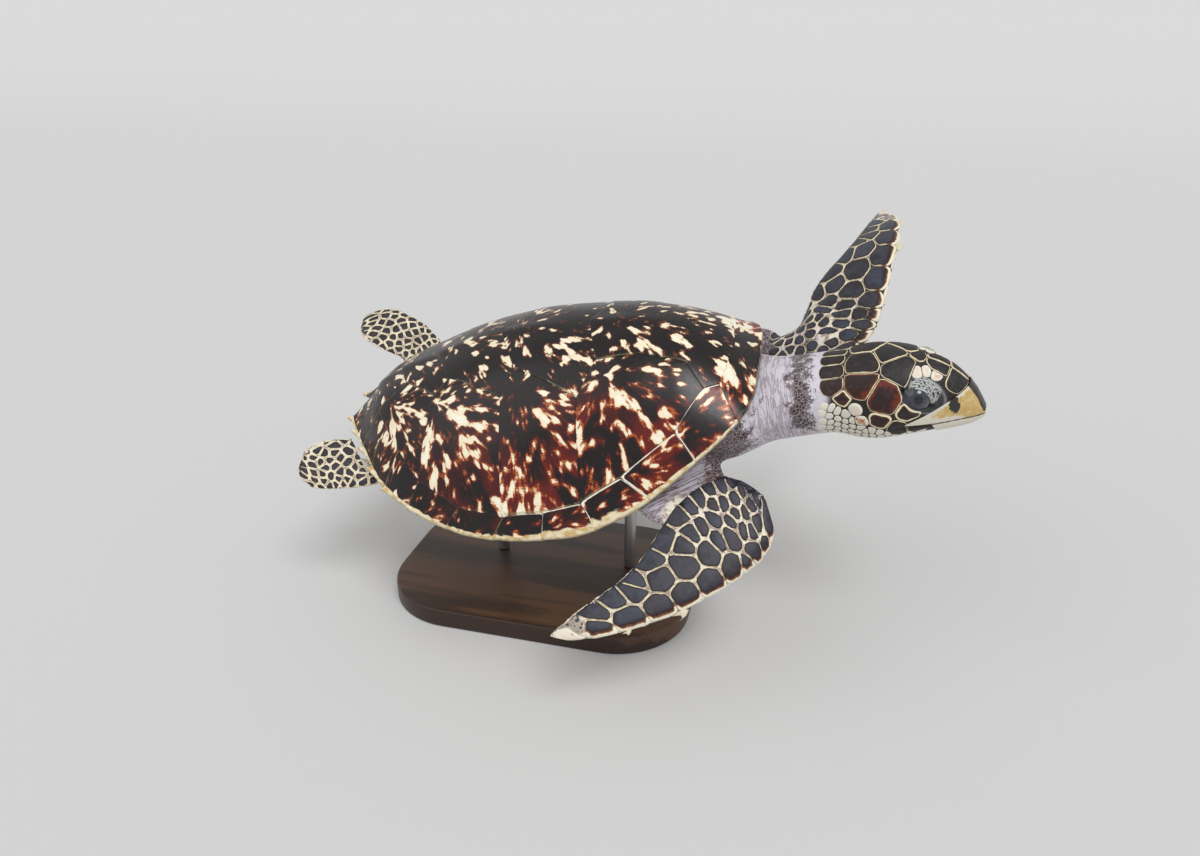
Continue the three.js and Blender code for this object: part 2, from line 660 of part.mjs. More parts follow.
function flipperForm(pose) {
  const blade = toSolid(loft(pose.paddle.stations.map((s) => paddleRing(pose, s))));
  const lead = paddleEdge(pose, pose.paddle.lead, ARM_LEAD);
  const trail = paddleEdge(pose, pose.paddle.trail, ARM_TRAIL);
  const span = lead.clone().sub(trail);
  const { length } = paddleFrame(pose, 0);
  const path = new THREE.CatmullRomCurve3([...pose.arm, lead.add(trail).multiplyScalar(0.5)]);
  const wide = [pose.shoulder[0] * SHELL_LENGTH, (span.length() / 2) * ARM_FIT];
  const deep = [pose.shoulder[1] * SHELL_LENGTH, pose.paddle.thick(0) * length * ARM_FIT];
  const rings = [];
  for (let i = 0; i < ARM_STATIONS; i += 1) {
    const t = i / (ARM_STATIONS - 1);
    const side = pose.across.clone().lerp(span.clone().normalize(), t).normalize();
    const up = path.getTangent(t).cross(side).normalize();
    const half = THREE.MathUtils.lerp(...wide, t);
    const depth = THREE.MathUtils.lerp(...deep, t);
    rings.push(ringAbout(path.getPoint(t), side, up, half, depth, depth, 2, ARM_SIDES));
  }
  return blade.add(toSolid(loft(rings)));
}

const CLAWS = { main: [0.455, 0.045], small: [0.7, 0.03] }; // station, length of the paddle length
const CLAW_SIDES = 6;

// A short hooked claw that points along the leading edge to the tip.
function clawForm(pose, station, size) {
  const { centre, forward, chord, normal, length } = paddleFrame(pose, station);
  const root = centre.clone().addScaledVector(chord, (pose.paddle.lead(station) - 0.012) * length);
  const reach = size * length;
  const rings = [0, 0.4, 0.75, 1].map((t) => {
    const point = root.clone().addScaledVector(chord, reach * 0.95 * Math.sin(t * 1.3));
    point.addScaledVector(forward, reach * 1.1 * t * t);
    const radius = reach * 0.36 * (1 - 0.86 * t);
    return ringAbout(point, forward, normal, radius, radius * 0.8, radius * 0.8, 2, CLAW_SIDES);
  });
  return toSolid(loft(rings.map((ring) => ring.reverse())));
}

// ---------------------------------------------------------------- tail

const TAIL_PATH = [at(-0.38, 0, -0.08), at(-0.45, 0, -0.085), at(-0.515, 0.01, -0.1)];

function tailForm() {
  const path = new THREE.CatmullRomCurve3(TAIL_PATH);
  const rings = [];
  for (let i = 0; i < 6; i += 1) {
    const t = i / 5;
    const forward = path.getTangent(t);
    const side = new THREE.Vector3(0, 0, 1).cross(forward).normalize();
    const up = forward.clone().cross(side).normalize();
    const radius = 0.04 * SHELL_LENGTH * (1 - 0.82 * t ** 1.2);
    rings.push(ringAbout(path.getPoint(t), side, up, radius, radius * 0.9, radius * 0.9, 2, 10));
  }
  return toSolid(loft(rings));
}

// ---------------------------------------------------------------- the animal

function addFlesh() {
  const belly = toSolid(plastronForm(2 * CUT));
  const inner = shellRoom().add(belly).add(trunkForm(CUT));
  const neckRoom = neckForm(CUT);
  addMesh(turtle, "trunk", toMeshGeometry(trunkForm(0).subtract(belly)), "skin");
  addMesh(turtle, "neck", toMeshGeometry(neckForm(0).subtract(inner)), "skin");
  Object.entries(FLIPPERS).forEach(([name, pose]) => {
    const limb = flipperForm(pose).subtract(inner).subtract(neckRoom);
    addMesh(turtle, name, toMeshGeometry(limb), "scales");
  });
  addMesh(turtle, "tail", toMeshGeometry(tailForm().subtract(inner)), "skin");
}

function addClaws() {
  ["left", "right"].forEach((side) => {
    const pose = FLIPPERS[`fore_flipper_${side}`];
    const limb = toSolid(turtle.getObjectByName(`fore_flipper_${side}`).geometry);
    Object.entries(CLAWS).forEach(([size, [station, length]]) => {
      const claw = clawForm(pose, station, length).subtract(limb);
      addMesh(turtle, `claw_${size}_${side}`, toMeshGeometry(claw), "claw");
    });
  });
}

// ---------------------------------------------------------------- stand

function baseForm() {
  const x = BASE_LENGTH / 2 - BASE_BEVEL;
  const y = BASE_WIDTH / 2 - BASE_BEVEL;
  const r = BASE_CORNER;
  const outline = new THREE.Shape();
  outline.absarc(x - r, y - r, r, 0, Math.PI / 2);
  outline.absarc(r - x, y - r, r, Math.PI / 2, Math.PI);
  outline.absarc(r - x, r - y, r, Math.PI, 1.5 * Math.PI);
  outline.absarc(x - r, r - y, r, 1.5 * Math.PI, 2 * Math.PI);
  const body = new THREE.ExtrudeGeometry(outline, {
    depth: BASE_THICKNESS - 2 * BASE_BEVEL,
    bevelThickness: BASE_BEVEL,
    bevelSize: BASE_BEVEL,
    bevelSegments: 1,
    curveSegments: 5,
  });
  return body.translate(0, 0, BASE_BEVEL);
}

// A rod that stands on the base and flares to a pad shaped to the belly.
function rodForm(station, belly) {
  const place = at(station, 0, BELLY_DEPTH(station)).applyMatrix4(turtle.matrixWorld);
  const foot = BASE_THICKNESS + CUT;
  const head = place.z + ROD_PAD_RISE;
  const profile = [
    [0, foot], [ROD_RADIUS, foot], [ROD_RADIUS, place.z - 2 * ROD_PAD_HEIGHT],
    [ROD_PAD_RADIUS, place.z - ROD_PAD_HEIGHT], [ROD_PAD_RADIUS, head], [0, head],
  ].map(([x, y]) => new THREE.Vector2(x, y));
  const rod = new THREE.LatheGeometry(profile, ROD_SIDES);
  rod.rotateX(Math.PI / 2).translate(place.x, place.y, 0);
  return toSolid(rod).subtract(belly);
}

function addStand() {
  const grown = plastronForm(CUT).applyMatrix4(turtle.matrixWorld);
  const belly = toSolid(grown).add(toSolid(grown.clone().translate(0, 0, ROD_PAD_RISE)));
  addMesh(model, "stand_base", baseForm(), "base");
  ROD_STATIONS.forEach((station, i) => {
    const name = ["stand_rod_rear", "stand_rod_front"][i];
    addMesh(model, name, toMeshGeometry(rodForm(station, belly)), "rod");
  });
}

turtle.position.z = BODY_HEIGHT;
turtle.rotation.set(BANK * DEG, -NOSE_UP * DEG, 0, "YXZ");
model.updateMatrixWorld(true);
addNuchal();
addVertebrals();
addCostals();
addMarginals();
addMesh(turtle, "plastron", plastronForm(0), "belly");
addHead();
addFlesh();
addClaws();
addStand();

export default model;
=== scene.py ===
"""Hawksbill sea turtle: a still, life-size display model of a young animal, swimming.

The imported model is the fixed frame. Around it this script builds the horn plates of
the shell, one skin over all the flesh, the scales on it, the bill, the eyes, the claws,
the belly plate and the display stand, and dresses each of them.

The animal is measured in its own body frame: +X to the beak, +Y to its left, +Z up
through the shell, in shell lengths. `BODY` turns those measures into the row frame.
Other lengths are in metres where no unit is named.
"""

import logging
import math
from contextlib import contextmanager
from dataclasses import dataclass, field
from enum import Enum
from functools import cache
from typing import Callable, ClassVar, Iterable, Iterator, Optional, Sequence

import bmesh
import bpy
import numpy as np
from bpy.types import Material, Node, NodeSocket, NodeTree, Object
from mathutils import Matrix, Vector
from mathutils.bvhtree import BVHTree
from mathutils.geometry import delaunay_2d_cdt
from mathutils.kdtree import KDTree


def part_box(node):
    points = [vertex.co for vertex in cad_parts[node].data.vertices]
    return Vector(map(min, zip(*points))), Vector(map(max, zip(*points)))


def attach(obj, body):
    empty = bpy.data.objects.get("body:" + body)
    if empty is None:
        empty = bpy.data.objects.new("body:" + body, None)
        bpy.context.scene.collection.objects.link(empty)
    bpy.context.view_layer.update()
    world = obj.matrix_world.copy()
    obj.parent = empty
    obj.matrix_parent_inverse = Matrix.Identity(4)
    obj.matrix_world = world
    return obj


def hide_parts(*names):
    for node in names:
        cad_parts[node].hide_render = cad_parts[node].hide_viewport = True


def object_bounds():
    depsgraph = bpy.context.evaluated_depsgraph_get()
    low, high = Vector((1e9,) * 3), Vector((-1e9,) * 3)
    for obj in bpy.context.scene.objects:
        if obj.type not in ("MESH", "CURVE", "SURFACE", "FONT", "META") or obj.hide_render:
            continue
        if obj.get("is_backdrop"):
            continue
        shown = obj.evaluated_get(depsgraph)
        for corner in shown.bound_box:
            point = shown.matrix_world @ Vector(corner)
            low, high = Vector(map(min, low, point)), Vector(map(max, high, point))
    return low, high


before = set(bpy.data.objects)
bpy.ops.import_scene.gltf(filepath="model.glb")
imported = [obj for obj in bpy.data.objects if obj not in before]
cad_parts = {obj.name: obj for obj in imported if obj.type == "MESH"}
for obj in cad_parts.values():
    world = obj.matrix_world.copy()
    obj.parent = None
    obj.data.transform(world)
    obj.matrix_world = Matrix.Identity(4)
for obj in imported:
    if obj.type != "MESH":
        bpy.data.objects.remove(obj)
CAD_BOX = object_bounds()

LOG = logging.getLogger("hawksbill")
MM = 0.001
Array = np.ndarray


# ---- the body frame


@dataclass(frozen=True)
class BodyFrame:
    """Where the body lies in the row frame."""

    length: float = 0.34  # straight length of the shell
    height: float = 0.178  # height of the shell's centre over the floor
    nose_up: float = 9.2  # degrees that the body is pitched up
    bank: float = 15.6  # degrees that the right side is rolled down

    @property
    def turn(self) -> Matrix:
        """The body's rotation."""
        pitch = Matrix.Rotation(-math.radians(self.nose_up), 3, "Y")
        return pitch @ Matrix.Rotation(math.radians(self.bank), 3, "X")

    def to_world(self, points: Array) -> Array:
        """Body points, in shell lengths, as row points in metres."""
        lift = np.array([0.0, 0.0, self.height])
        return np.asarray(points, float) * self.length @ np.array(self.turn).T + lift

    def to_body(self, points: Array) -> Array:
        """Row points in metres as body points, in shell lengths."""
        lift = np.array([0.0, 0.0, self.height])
        return (np.asarray(points, float) - lift) @ np.array(self.turn) / self.length

    def at(self, x: float, y: float, z: float) -> Vector:
        """One body point as a row point."""
        return Vector(self.to_world(np.array([x, y, z])))

    def direction(self, x: float, y: float, z: float) -> Vector:
        """A body direction as a unit vector of the row frame."""
        return (self.turn @ Vector((x, y, z))).normalized()


BODY = BodyFrame()


def curve_through(stations: Sequence[Sequence[float]]) -> Callable[[Array], Array]:
    """A smooth curve through (x, y) stations that never overshoots them.

    Args:
        stations: pairs of a place and a value, by rising place.

    Returns:
        A function from places to values, which holds its end values outside them.
    """
    xs, ys = np.array(stations, float).T
    slope = np.diff(ys) / np.diff(xs)
    tangent = np.concatenate([slope[:1], np.zeros(len(xs) - 2), slope[-1:]])
    for i in range(1, len(xs) - 1):
        a, b = slope[i - 1], slope[i]
        tangent[i] = 0 if a * b <= 0 else 2 * a * b / (a + b)

    def value(x: Array) -> Array:
        """Reads the curve.

        Args:
            x: the places.

        Returns:
            The values there.
        """
        x = np.clip(np.asarray(x, float), xs[0], xs[-1])
        i = np.clip(np.searchsorted(xs, x, side="right") - 1, 0, len(xs) - 2)
        h = xs[i + 1] - xs[i]
        u = (x - xs[i]) / h
        v = 1 - u
        rise = ys[i] * (1 + 2 * u) * v * v + ys[i + 1] * (3 - 2 * u) * u * u
        return rise + h * (tangent[i] * u * v * v - tangent[i + 1] * u * u * v)

    return value


# ---- mesh helpers


def deselect_all() -> None:
    """Leaves edit mode and clears the selection."""
    if bpy.context.object and bpy.context.object.mode != "OBJECT":
        bpy.ops.object.mode_set(mode="OBJECT")
    bpy.ops.object.select_all(action="DESELECT")


def unit(vector: Array) -> Array:
    """The vector at length 1."""
    return vector / np.linalg.norm(vector)


def pick(obj: Object) -> None:
    """Makes obj the only selected and the active object.

    Args:
        obj: the mesh object.
    """
    deselect_all()
    obj.select_set(True)
    bpy.context.view_layer.objects.active = obj


@contextmanager
def edit_mode(obj: Object, action: str = "SELECT") -> Iterator[None]:
    """Holds edit mode on one object, and leaves it at the end.

    Args:
        obj: the mesh object.
        action: "SELECT" or "DESELECT", for all of the mesh.

    Yields:
        Nothing, while the mode holds.
    """
    pick(obj)
    bpy.ops.object.mode_set(mode="EDIT")
    bpy.ops.mesh.select_all(action=action)
    yield
    bpy.ops.object.mode_set(mode="OBJECT")


def pick_edges(obj: Object, chosen: Callable) -> None:
    """Selects edges in edit mode.

    Args:
        obj: the mesh object.
        chosen: says of an edge whether it is selected.
    """
    bpy.ops.mesh.select_mode(type="EDGE")
    bpy.ops.mesh.select_all(action="DESELECT")
    form = bmesh.from_edit_mesh(obj.data)
    for edge in form.edges:
        edge.select_set(chosen(edge))
    bmesh.update_edit_mesh(obj.data)


def apply_modifier(obj: Object, kind: str, **settings: object) -> None:
    """Adds a modifier, sets it up and applies it at once.

    Args:
        obj: the mesh object that is changed.
        kind: the modifier's type, such as "REMESH".
        settings: the modifier's own properties.
    """
    pick(obj)
    modifier = obj.modifiers.new(kind.title(), kind)
    for name, value in settings.items():
        setattr(modifier, name, value)
    bpy.ops.object.modifier_apply(modifier=modifier.name)


def redraw(obj: Object, cell: float, rounds: int) -> None:
    """Draws a mesh's surface anew with an even net, and smooths it.

    Args:
        obj: the mesh object.
        cell: size of the net.
        rounds: how often it is smoothed.
    """
    apply_modifier(obj, "REMESH", mode="VOXEL", voxel_size=cell)
    apply_modifier(obj, "SMOOTH", factor=0.5, iterations=rounds)


def new_mesh(name: str, points: Iterable, faces: Iterable) -> Object:
    """A mesh object at the origin, from points and faces.

    Args:
        name: its name.
        points: the places of its vertices.
        faces: the vertices of each face.

    Returns:
        The object.
    """
    mesh = bpy.data.meshes.new(name)
    mesh.from_pydata([tuple(p) for p in points], [], [tuple(f) for f in faces])
    mesh.validate()
    obj = bpy.data.objects.new(name, mesh)
    bpy.context.scene.collection.objects.link(obj)
    return obj


def copy_nodes(name: str, nodes: Sequence[str]) -> Object:
    """One merged mesh with the solids of these nodes in it.

    Args:
        name: the new object's name.
        nodes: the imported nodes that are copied.

    Returns:
        The new object.
    """
    merged = bmesh.new()
    for node in nodes:
        merged.from_mesh(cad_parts[node].data)
    bmesh.ops.remove_doubles(merged, verts=merged.verts, dist=1e-6)
    mesh = bpy.data.meshes.new(name)
    merged.to_mesh(mesh)
    merged.free()
    obj = bpy.data.objects.new(name, mesh)
    bpy.context.scene.collection.objects.link(obj)
    return obj


def points_of(obj: Object) -> Array:
    """The places of a mesh's vertices, one row each.

    Args:
        obj: the mesh object.

    Returns:
        The places.
    """
    flat = np.empty(len(obj.data.vertices) * 3, np.float64)
    obj.data.vertices.foreach_get("co", flat)
    return flat.reshape(-1, 3)


def move_points(obj: Object, points: Array) -> None:
    """Puts a mesh's vertices in new places."""
    obj.data.vertices.foreach_set("co", np.asarray(points, np.float64).ravel())
    obj.data.update()


def normals_of(obj: Object) -> Array:
    """The vertex normals of a mesh, one row each.

    Args:
        obj: the mesh object.

    Returns:
        The unit normals.
    """
    flat = np.empty(len(obj.data.vertices) * 3, np.float64)
    obj.data.vertices.foreach_get("normal", flat)
    return flat.reshape(-1, 3)


def store(obj: Object, name: str, values: Array) -> None:
    """Keeps one number, or one vector, per vertex as an attribute.

    Args:
        obj: the mesh object.
        name: the attribute's name, which its material reads.
        values: one row per vertex.
    """
    values = np.asarray(values, np.float32)
    vector = values.ndim == 2
    kind = "FLOAT_VECTOR" if vector else "FLOAT"
    layer = obj.data.attributes.new(name, kind, "POINT")
    layer.data.foreach_set("vector" if vector else "value", values.ravel())


def smoothstep(low: float, high: float, x: Array) -> Array:
    """0 below low, 1 above high and a smooth rise between them."""
    t = np.clip((np.asarray(x, float) - low) / (high - low), 0, 1)
    return t * t * (3 - 2 * t)


def nearness(points: Array, others: Array, furthest: float = 9 * MM) -> Array:
    """Distance from each point to the nearest of some others.

    Args:
        points: the points.
        others: what they may lie near.
        furthest: the distance that stands for all greater ones.

    Returns:
        The distances in metres.
    """
    tree = KDTree(len(others))
    for i, other in enumerate(others):
        tree.insert(other, i)
    tree.balance()
    away = np.full(len(points), furthest)
    boxed = (points > others.min(0) - furthest) & (points < others.max(0) + furthest)
    for i in np.flatnonzero(boxed.all(1)):
        away[i] = min(furthest, tree.find(points[i])[2])
    return away


def smooth_shade(obj: Object) -> None:
    """Shades all faces smooth."""
    obj.data.polygons.foreach_set("use_smooth", [True] * len(obj.data.polygons))
    obj.data.update()


def finish_piece(piece: Object, material: Material,
                 nodes: Sequence[str] = (), smooth: bool = True) -> Object:
    """Dresses a finished piece and ties it to the frame.

    Args:
        piece: the mesh object, with its place in its mesh.
        material: its finish.
        nodes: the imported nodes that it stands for.
        smooth: whether all its faces are shaded smooth.

    Returns:
        The piece.
    """
    if smooth:
        smooth_shade(piece)
    piece.data.materials.clear()
    piece.data.materials.append(material)
    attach(piece, "root")
    if nodes:
        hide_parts(*nodes)
    LOG.info("%s: %d faces", piece.name, len(piece.data.polygons))
    return piece


# ---- node trees


class Value:
    """A shader value that can be added to, taken from and multiplied."""

    def __init__(self, tree: "Tree", socket: NodeSocket) -> None:
        """Wraps a socket of a tree."""
        self.tree, self.socket = tree, socket

    def __add__(self, other: object) -> "Value":
        """The sum with another value."""
        return self.tree.math("ADD", self, other)

    def __sub__(self, other: object) -> "Value":
        """This value less another one."""
        return self.tree.math("SUBTRACT", self, other)

    def __mul__(self, other: object) -> "Value":
        """The product with another value."""
        return self.tree.math("MULTIPLY", self, other)

    def mask(self, low: float, high: float) -> "Value":
        """A smooth 0 to 1 mask as this value goes from low to high."""
        links = {"Value": self, "From Min": low, "From Max": high}
        return self.tree.add("MapRange", links, interpolation_type="SMOOTHSTEP")[0]


class Tree:
    """A thin builder over a material's or a group's node tree."""

    def __init__(self, tree: NodeTree) -> None:
        """Wraps a node tree."""
        self.tree = tree

    def outputs(self, node: Node) -> list[Value]:
        """A node's output values."""
        return [Value(self, socket) for socket in node.outputs]

    def link(self, value: object, socket: NodeSocket) -> None:
        """Feeds a socket with a value of the tree or with a plain one.

        Args:
            value: the value, where a colour may be left without its alpha.
            socket: the input.
        """
        if isinstance(value, Value):
            self.tree.links.new(value.socket, socket)
        else:
            colour = socket.type == "RGBA" and len(value) == 3
            socket.default_value = (*value, 1.0) if colour else value

    def add(self, kind: str, links: Optional[dict] = None, **settings: object) -> list[Value]:
        """Adds a node.

        Args:
            kind: the node's type, without the "ShaderNode" that starts it.
            links: input names or numbers, with what each takes.
            settings: the node's own properties.

        Returns:
            The node's outputs.
        """
        node = self.tree.nodes.new("ShaderNode" + kind)
        for name, value in settings.items():
            setattr(node, name, value)
        for name, value in (links or {}).items():
            self.link(value, node.inputs[name])
        return self.outputs(node)

    def math(self, operation: str, *values: object, clamp: bool = False) -> Value:
        """The result of a Math node on values."""
        return self.add("Math", dict(enumerate(values)), operation=operation, use_clamp=clamp)[0]

    def mix(self, factor: object, first: object, second: object) -> Value:
        """A mix of two colours."""
        return self.add("Mix", {0: factor, 6: first, 7: second}, data_type="RGBA")[2]

    def apart(self, vector: Value) -> list[Value]:
        """The three numbers of a vector."""
        return self.add("SeparateXYZ", {0: vector})

    def layers(self, ground: object, *coats: tuple) -> Value:
        """Colours that are laid over a ground colour.

        Args:
            ground: the ground colour.
            coats: a mask and a colour each, the lowest first.

        Returns:
            The colour of all.
        """
        for mask, colour in coats:
            ground = self.mix(mask, ground, colour)
        return ground


def make_group(name: str, inputs: dict, output: str, fill: Callable) -> NodeTree:
    """A shader node group with named inputs and one output.

    Args:
        name: the group's name.
        inputs: input names, each with its default, where None stands for a vector.
        output: the output's name.
        fill: takes the group's Tree and its inputs by name, and returns the output.

    Returns:
        The group.
    """
    group = bpy.data.node_groups.new(name, "ShaderNodeTree")
    for label, value in inputs.items():
        kind = "NodeSocketVector" if value is None else "NodeSocketFloat"
        socket = group.interface.new_socket(label, in_out="INPUT", socket_type=kind)
        if value is not None:
            socket.default_value = value
    group.interface.new_socket(output, in_out="OUTPUT", socket_type="NodeSocketFloat")
    tree = Tree(group)
    start = tree.outputs(group.nodes.new("NodeGroupInput"))
    result = fill(tree, dict(zip(inputs, start)))
    tree.link(result, group.nodes.new("NodeGroupOutput").inputs[output])
    return group


@cache
def grain_group() -> NodeTree:
    """The group of fine noise that all the finishes share.

    Returns:
        The group.
    """
    inputs = {"Place": None, "Scale": 100.0, "Detail": 2.0, "Roughness": 0.5}

    def fill(tree: Tree, given: dict) -> Value:
        """The noise."""
        links = {"Vector": given["Place"]} | {name: given[name] for name in list(inputs)[1:]}
        return tree.add("TexNoise", links)[0]

    return make_group("fine_grain", inputs, "Grain", fill)


@cache
def streak_group() -> NodeTree:
    """The group of ragged noise that is drawn out along a direction.

    Returns:
        The group.
    """
    inputs = {"Place": None, "Ray": None, "Seed": 0.0, "Scale": 100.0, "Length": 3.0 * MM}

    def fill(tree: Tree, given: dict) -> Value:
        """The mean of four noises, each a step further along the ray.

        Args:
            tree: the group's tree.
            given: its inputs by name.

        Returns:
            The height.
        """
        total = 0.0
        for share in (-1.5, -0.5, 0.5, 1.5):
            ray = {0: given["Ray"], "Scale": given["Length"] * share}
            step = tree.add("VectorMath", ray, operation="SCALE")[0]
            place = tree.add("VectorMath", {0: given["Place"], 1: step})[0]
            links = {"Vector": place, "W": given["Seed"], "Scale": given["Scale"],
                     "Detail": 2.0, "Roughness": 0.55}
            noise = tree.add("TexNoise", links, noise_dimensions="4D")[0]
            total = tree.math("ADD", total, noise * 0.25)
        return total

    return make_group("ragged_streaks", inputs, "Height", fill)


class Paint(Tree):
    """A new material with a Principled shader."""

    def __init__(self, name: str, **sockets: float) -> None:
        """Makes the material, its shader and its Object coordinates.

        Args:
            name: the material's name.
            sockets: values of the shader's inputs, with _ for a space.
        """
        self.material = bpy.data.materials.new(name)
        self.material.use_nodes = True
        super().__init__(self.material.node_tree)
        self.shader = self.tree.nodes["Principled BSDF"]
        for label, value in sockets.items():
            self.feed(label.replace("_", " "), value)
        self.place = self.outputs(self.tree.nodes.new("ShaderNodeTexCoord"))[3]

    def feed(self, label: str, value: object) -> None:
        """Sets or links one of the shader's inputs."""
        self.link(value, self.shader.inputs[label])

    def group(self, tree: NodeTree, *values: object) -> Value:
        """Places a node group with its values, and returns its output."""
        return self.add("Group", dict(enumerate(values)), node_tree=tree)[0]

    def grain(self, scale: float, detail: float, roughness: float = 0.5,
              place: Optional[Value] = None) -> Value:
        """Fine noise on the material's Object coordinates, or on another place."""
        return self.group(grain_group(), place or self.place, scale, detail, roughness)

    def attribute(self, name: str) -> Value:
        """A number that the piece's mesh carries."""
        return self.add("Attribute", attribute_name=name)[2]

    def vector(self, name: str) -> Value:
        """A vector that the piece's mesh carries."""
        return self.add("Attribute", attribute_name=name)[1]

    def bump(self, height: Value, depth: float, strength: float = 1.0) -> None:
        """Feeds the normal from a height, of the given depth in metres."""
        links = {"Height": height, "Distance": depth, "Strength": strength}
        self.feed("Normal", self.add("Bump", links)[0])


# ---- the shell


@dataclass(frozen=True)
class ShellForm:
    """The arched form of the upper shell, in shell lengths."""

    arch: float = 2.15
    half_width: Callable = curve_through([
        (-0.5, 0.037), (-0.47, 0.085), (-0.42, 0.154), (-0.35, 0.24), (-0.25, 0.305),
        (-0.12, 0.351), (0, 0.368), (0.12, 0.36), (0.24, 0.325), (0.34, 0.274),
        (0.42, 0.223), (0.47, 0.178), (0.5, 0.121),
    ])
    rim: Callable = curve_through([
        (-0.5, -0.014), (-0.3, -0.072), (-0.1, -0.11), (0.1, -0.11), (0.25, -0.078),
        (0.38, -0.014), (0.5, 0.051),
    ])
    ridge: Callable = curve_through([
        (-0.5, -0.014), (-0.45, 0.018), (-0.38, 0.066), (-0.25, 0.115), (-0.1, 0.158),
        (0.08, 0.179), (0.22, 0.179), (0.34, 0.158), (0.43, 0.117), (0.5, 0.051),
    ])

    def height(self, x: Array, y: Array) -> Array:
        """Height of the shell's surface over the body's origin.

        Args:
            x: places along the shell.
            y: places across it.

        Returns:
            The heights.
        """
        across = np.minimum(np.abs(y) / self.half_width(x), 1)
        rim = self.rim(x)
        return rim + (self.ridge(x) - rim) * (1 - across ** self.arch)


def refine(outline: Array, step: float) -> Array:
    """Splits the edges of a closed plan outline into pieces no longer than step.

    Args:
        outline: its points.
        step: the longest piece.

    Returns:
        The points with the new ones between.
    """
    points = []
    for start, end in zip(outline, np.roll(outline, -1, 0)):
        count = max(1, math.ceil(np.linalg.norm(end - start) / step))
        points.extend(start + (end - start) * i / count for i in range(count))
    return np.array(points)


def outline_distance(points: Array, outline: Array) -> Array:
    """Distance of plan points to a closed plan outline.

    Args:
        points: the plan points.
        outline: the outline's points.

    Returns:
        The distances.
    """
    ahead = np.roll(outline, -1, 0) - outline
    rel = points[:, None, :] - outline[None]
    along = np.clip((rel * ahead).sum(-1) / (ahead * ahead).sum(-1), 0, 1)
    return np.linalg.norm(rel - along[..., None] * ahead, axis=-1).min(1)


def inside_outline(points: Array, outline: Array) -> Array:
    """Which plan points lie inside a closed plan outline.

    Args:
        points: the plan points.
        outline: the outline's points.

    Returns:
        True for each point inside.
    """
    x1, y1 = outline.T
    x2, y2 = np.roll(outline, -1, 0).T
    px, py = points[:, :1], points[:, 1:]
    spans = (y1 > py) != (y2 > py)
    rise = np.where(y2 == y1, 1.0, y2 - y1)
    crossing = x1 + (py - y1) * (x2 - x1) / rise
    return (spans & (px < crossing)).sum(1) % 2 == 1


def fill_outline(outline: Array, spacing: float) -> tuple[Array, list]:
    """Fills a plan outline with an even net of triangles.

    Args:
        outline: the closed outline, anticlockwise, already cut into short edges.
        spacing: distance between the points inside.

    Returns:
        The points, the outline's own first, and the triangles.
    """
    low, high = outline.min(0), outline.max(0)
    rows = np.arange(low[1], high[1], spacing * 0.866)
    grid = [(x + (i % 2) * spacing / 2, y)
            for i, y in enumerate(rows) for x in np.arange(low[0], high[0], spacing)]
    grid = np.array(grid)
    keep = inside_outline(grid, outline)
    grid = grid[keep]
    grid = grid[outline_distance(grid, outline) > 0.8 * spacing]
    points = [Vector(p) for p in np.vstack([outline, grid])]
    result = delaunay_2d_cdt(points, [], [list(range(len(outline)))], 1, 1e-7)
    return np.array([tuple(p) for p in result[0]]), [list(f) for f in result[2]]


@dataclass(frozen=True)
class PlateStyle:
    """How the horn plates of one row are shaped."""

    # where the plate began to grow: its share of the way from the rear edge to the front, and
    # from the inner edge to the outer
    growth: tuple[float, float]
    lift: float = 1.0 * MM  # rise of the free rear edge
    side_lift: float = 0.0  # rise of the outer edge
    overlap: float = 1.4 * MM  # how far the rear edge reaches over the next plate


class PlateRow(Enum):
    """The rows of horn plates, by the start of their nodes' names."""

    NUCHAL = ("nuchal", PlateStyle((0.15, 0.5), lift=0.7 * MM))
    VERTEBRAL = ("vertebral", PlateStyle((0.16, 0.5), side_lift=0.5 * MM))
    COSTAL = ("costal", PlateStyle((0.2, 0.2), side_lift=0.5 * MM))
    MARGINAL = ("marginal", PlateStyle((0.12, 0.75), lift=0.8 * MM, overlap=1.0 * MM))

    @classmethod
    def of(cls, node: str) -> "PlateRow":
        """The row that a node belongs to."""
        return next(row for row in cls if node.startswith(row.value[0]))


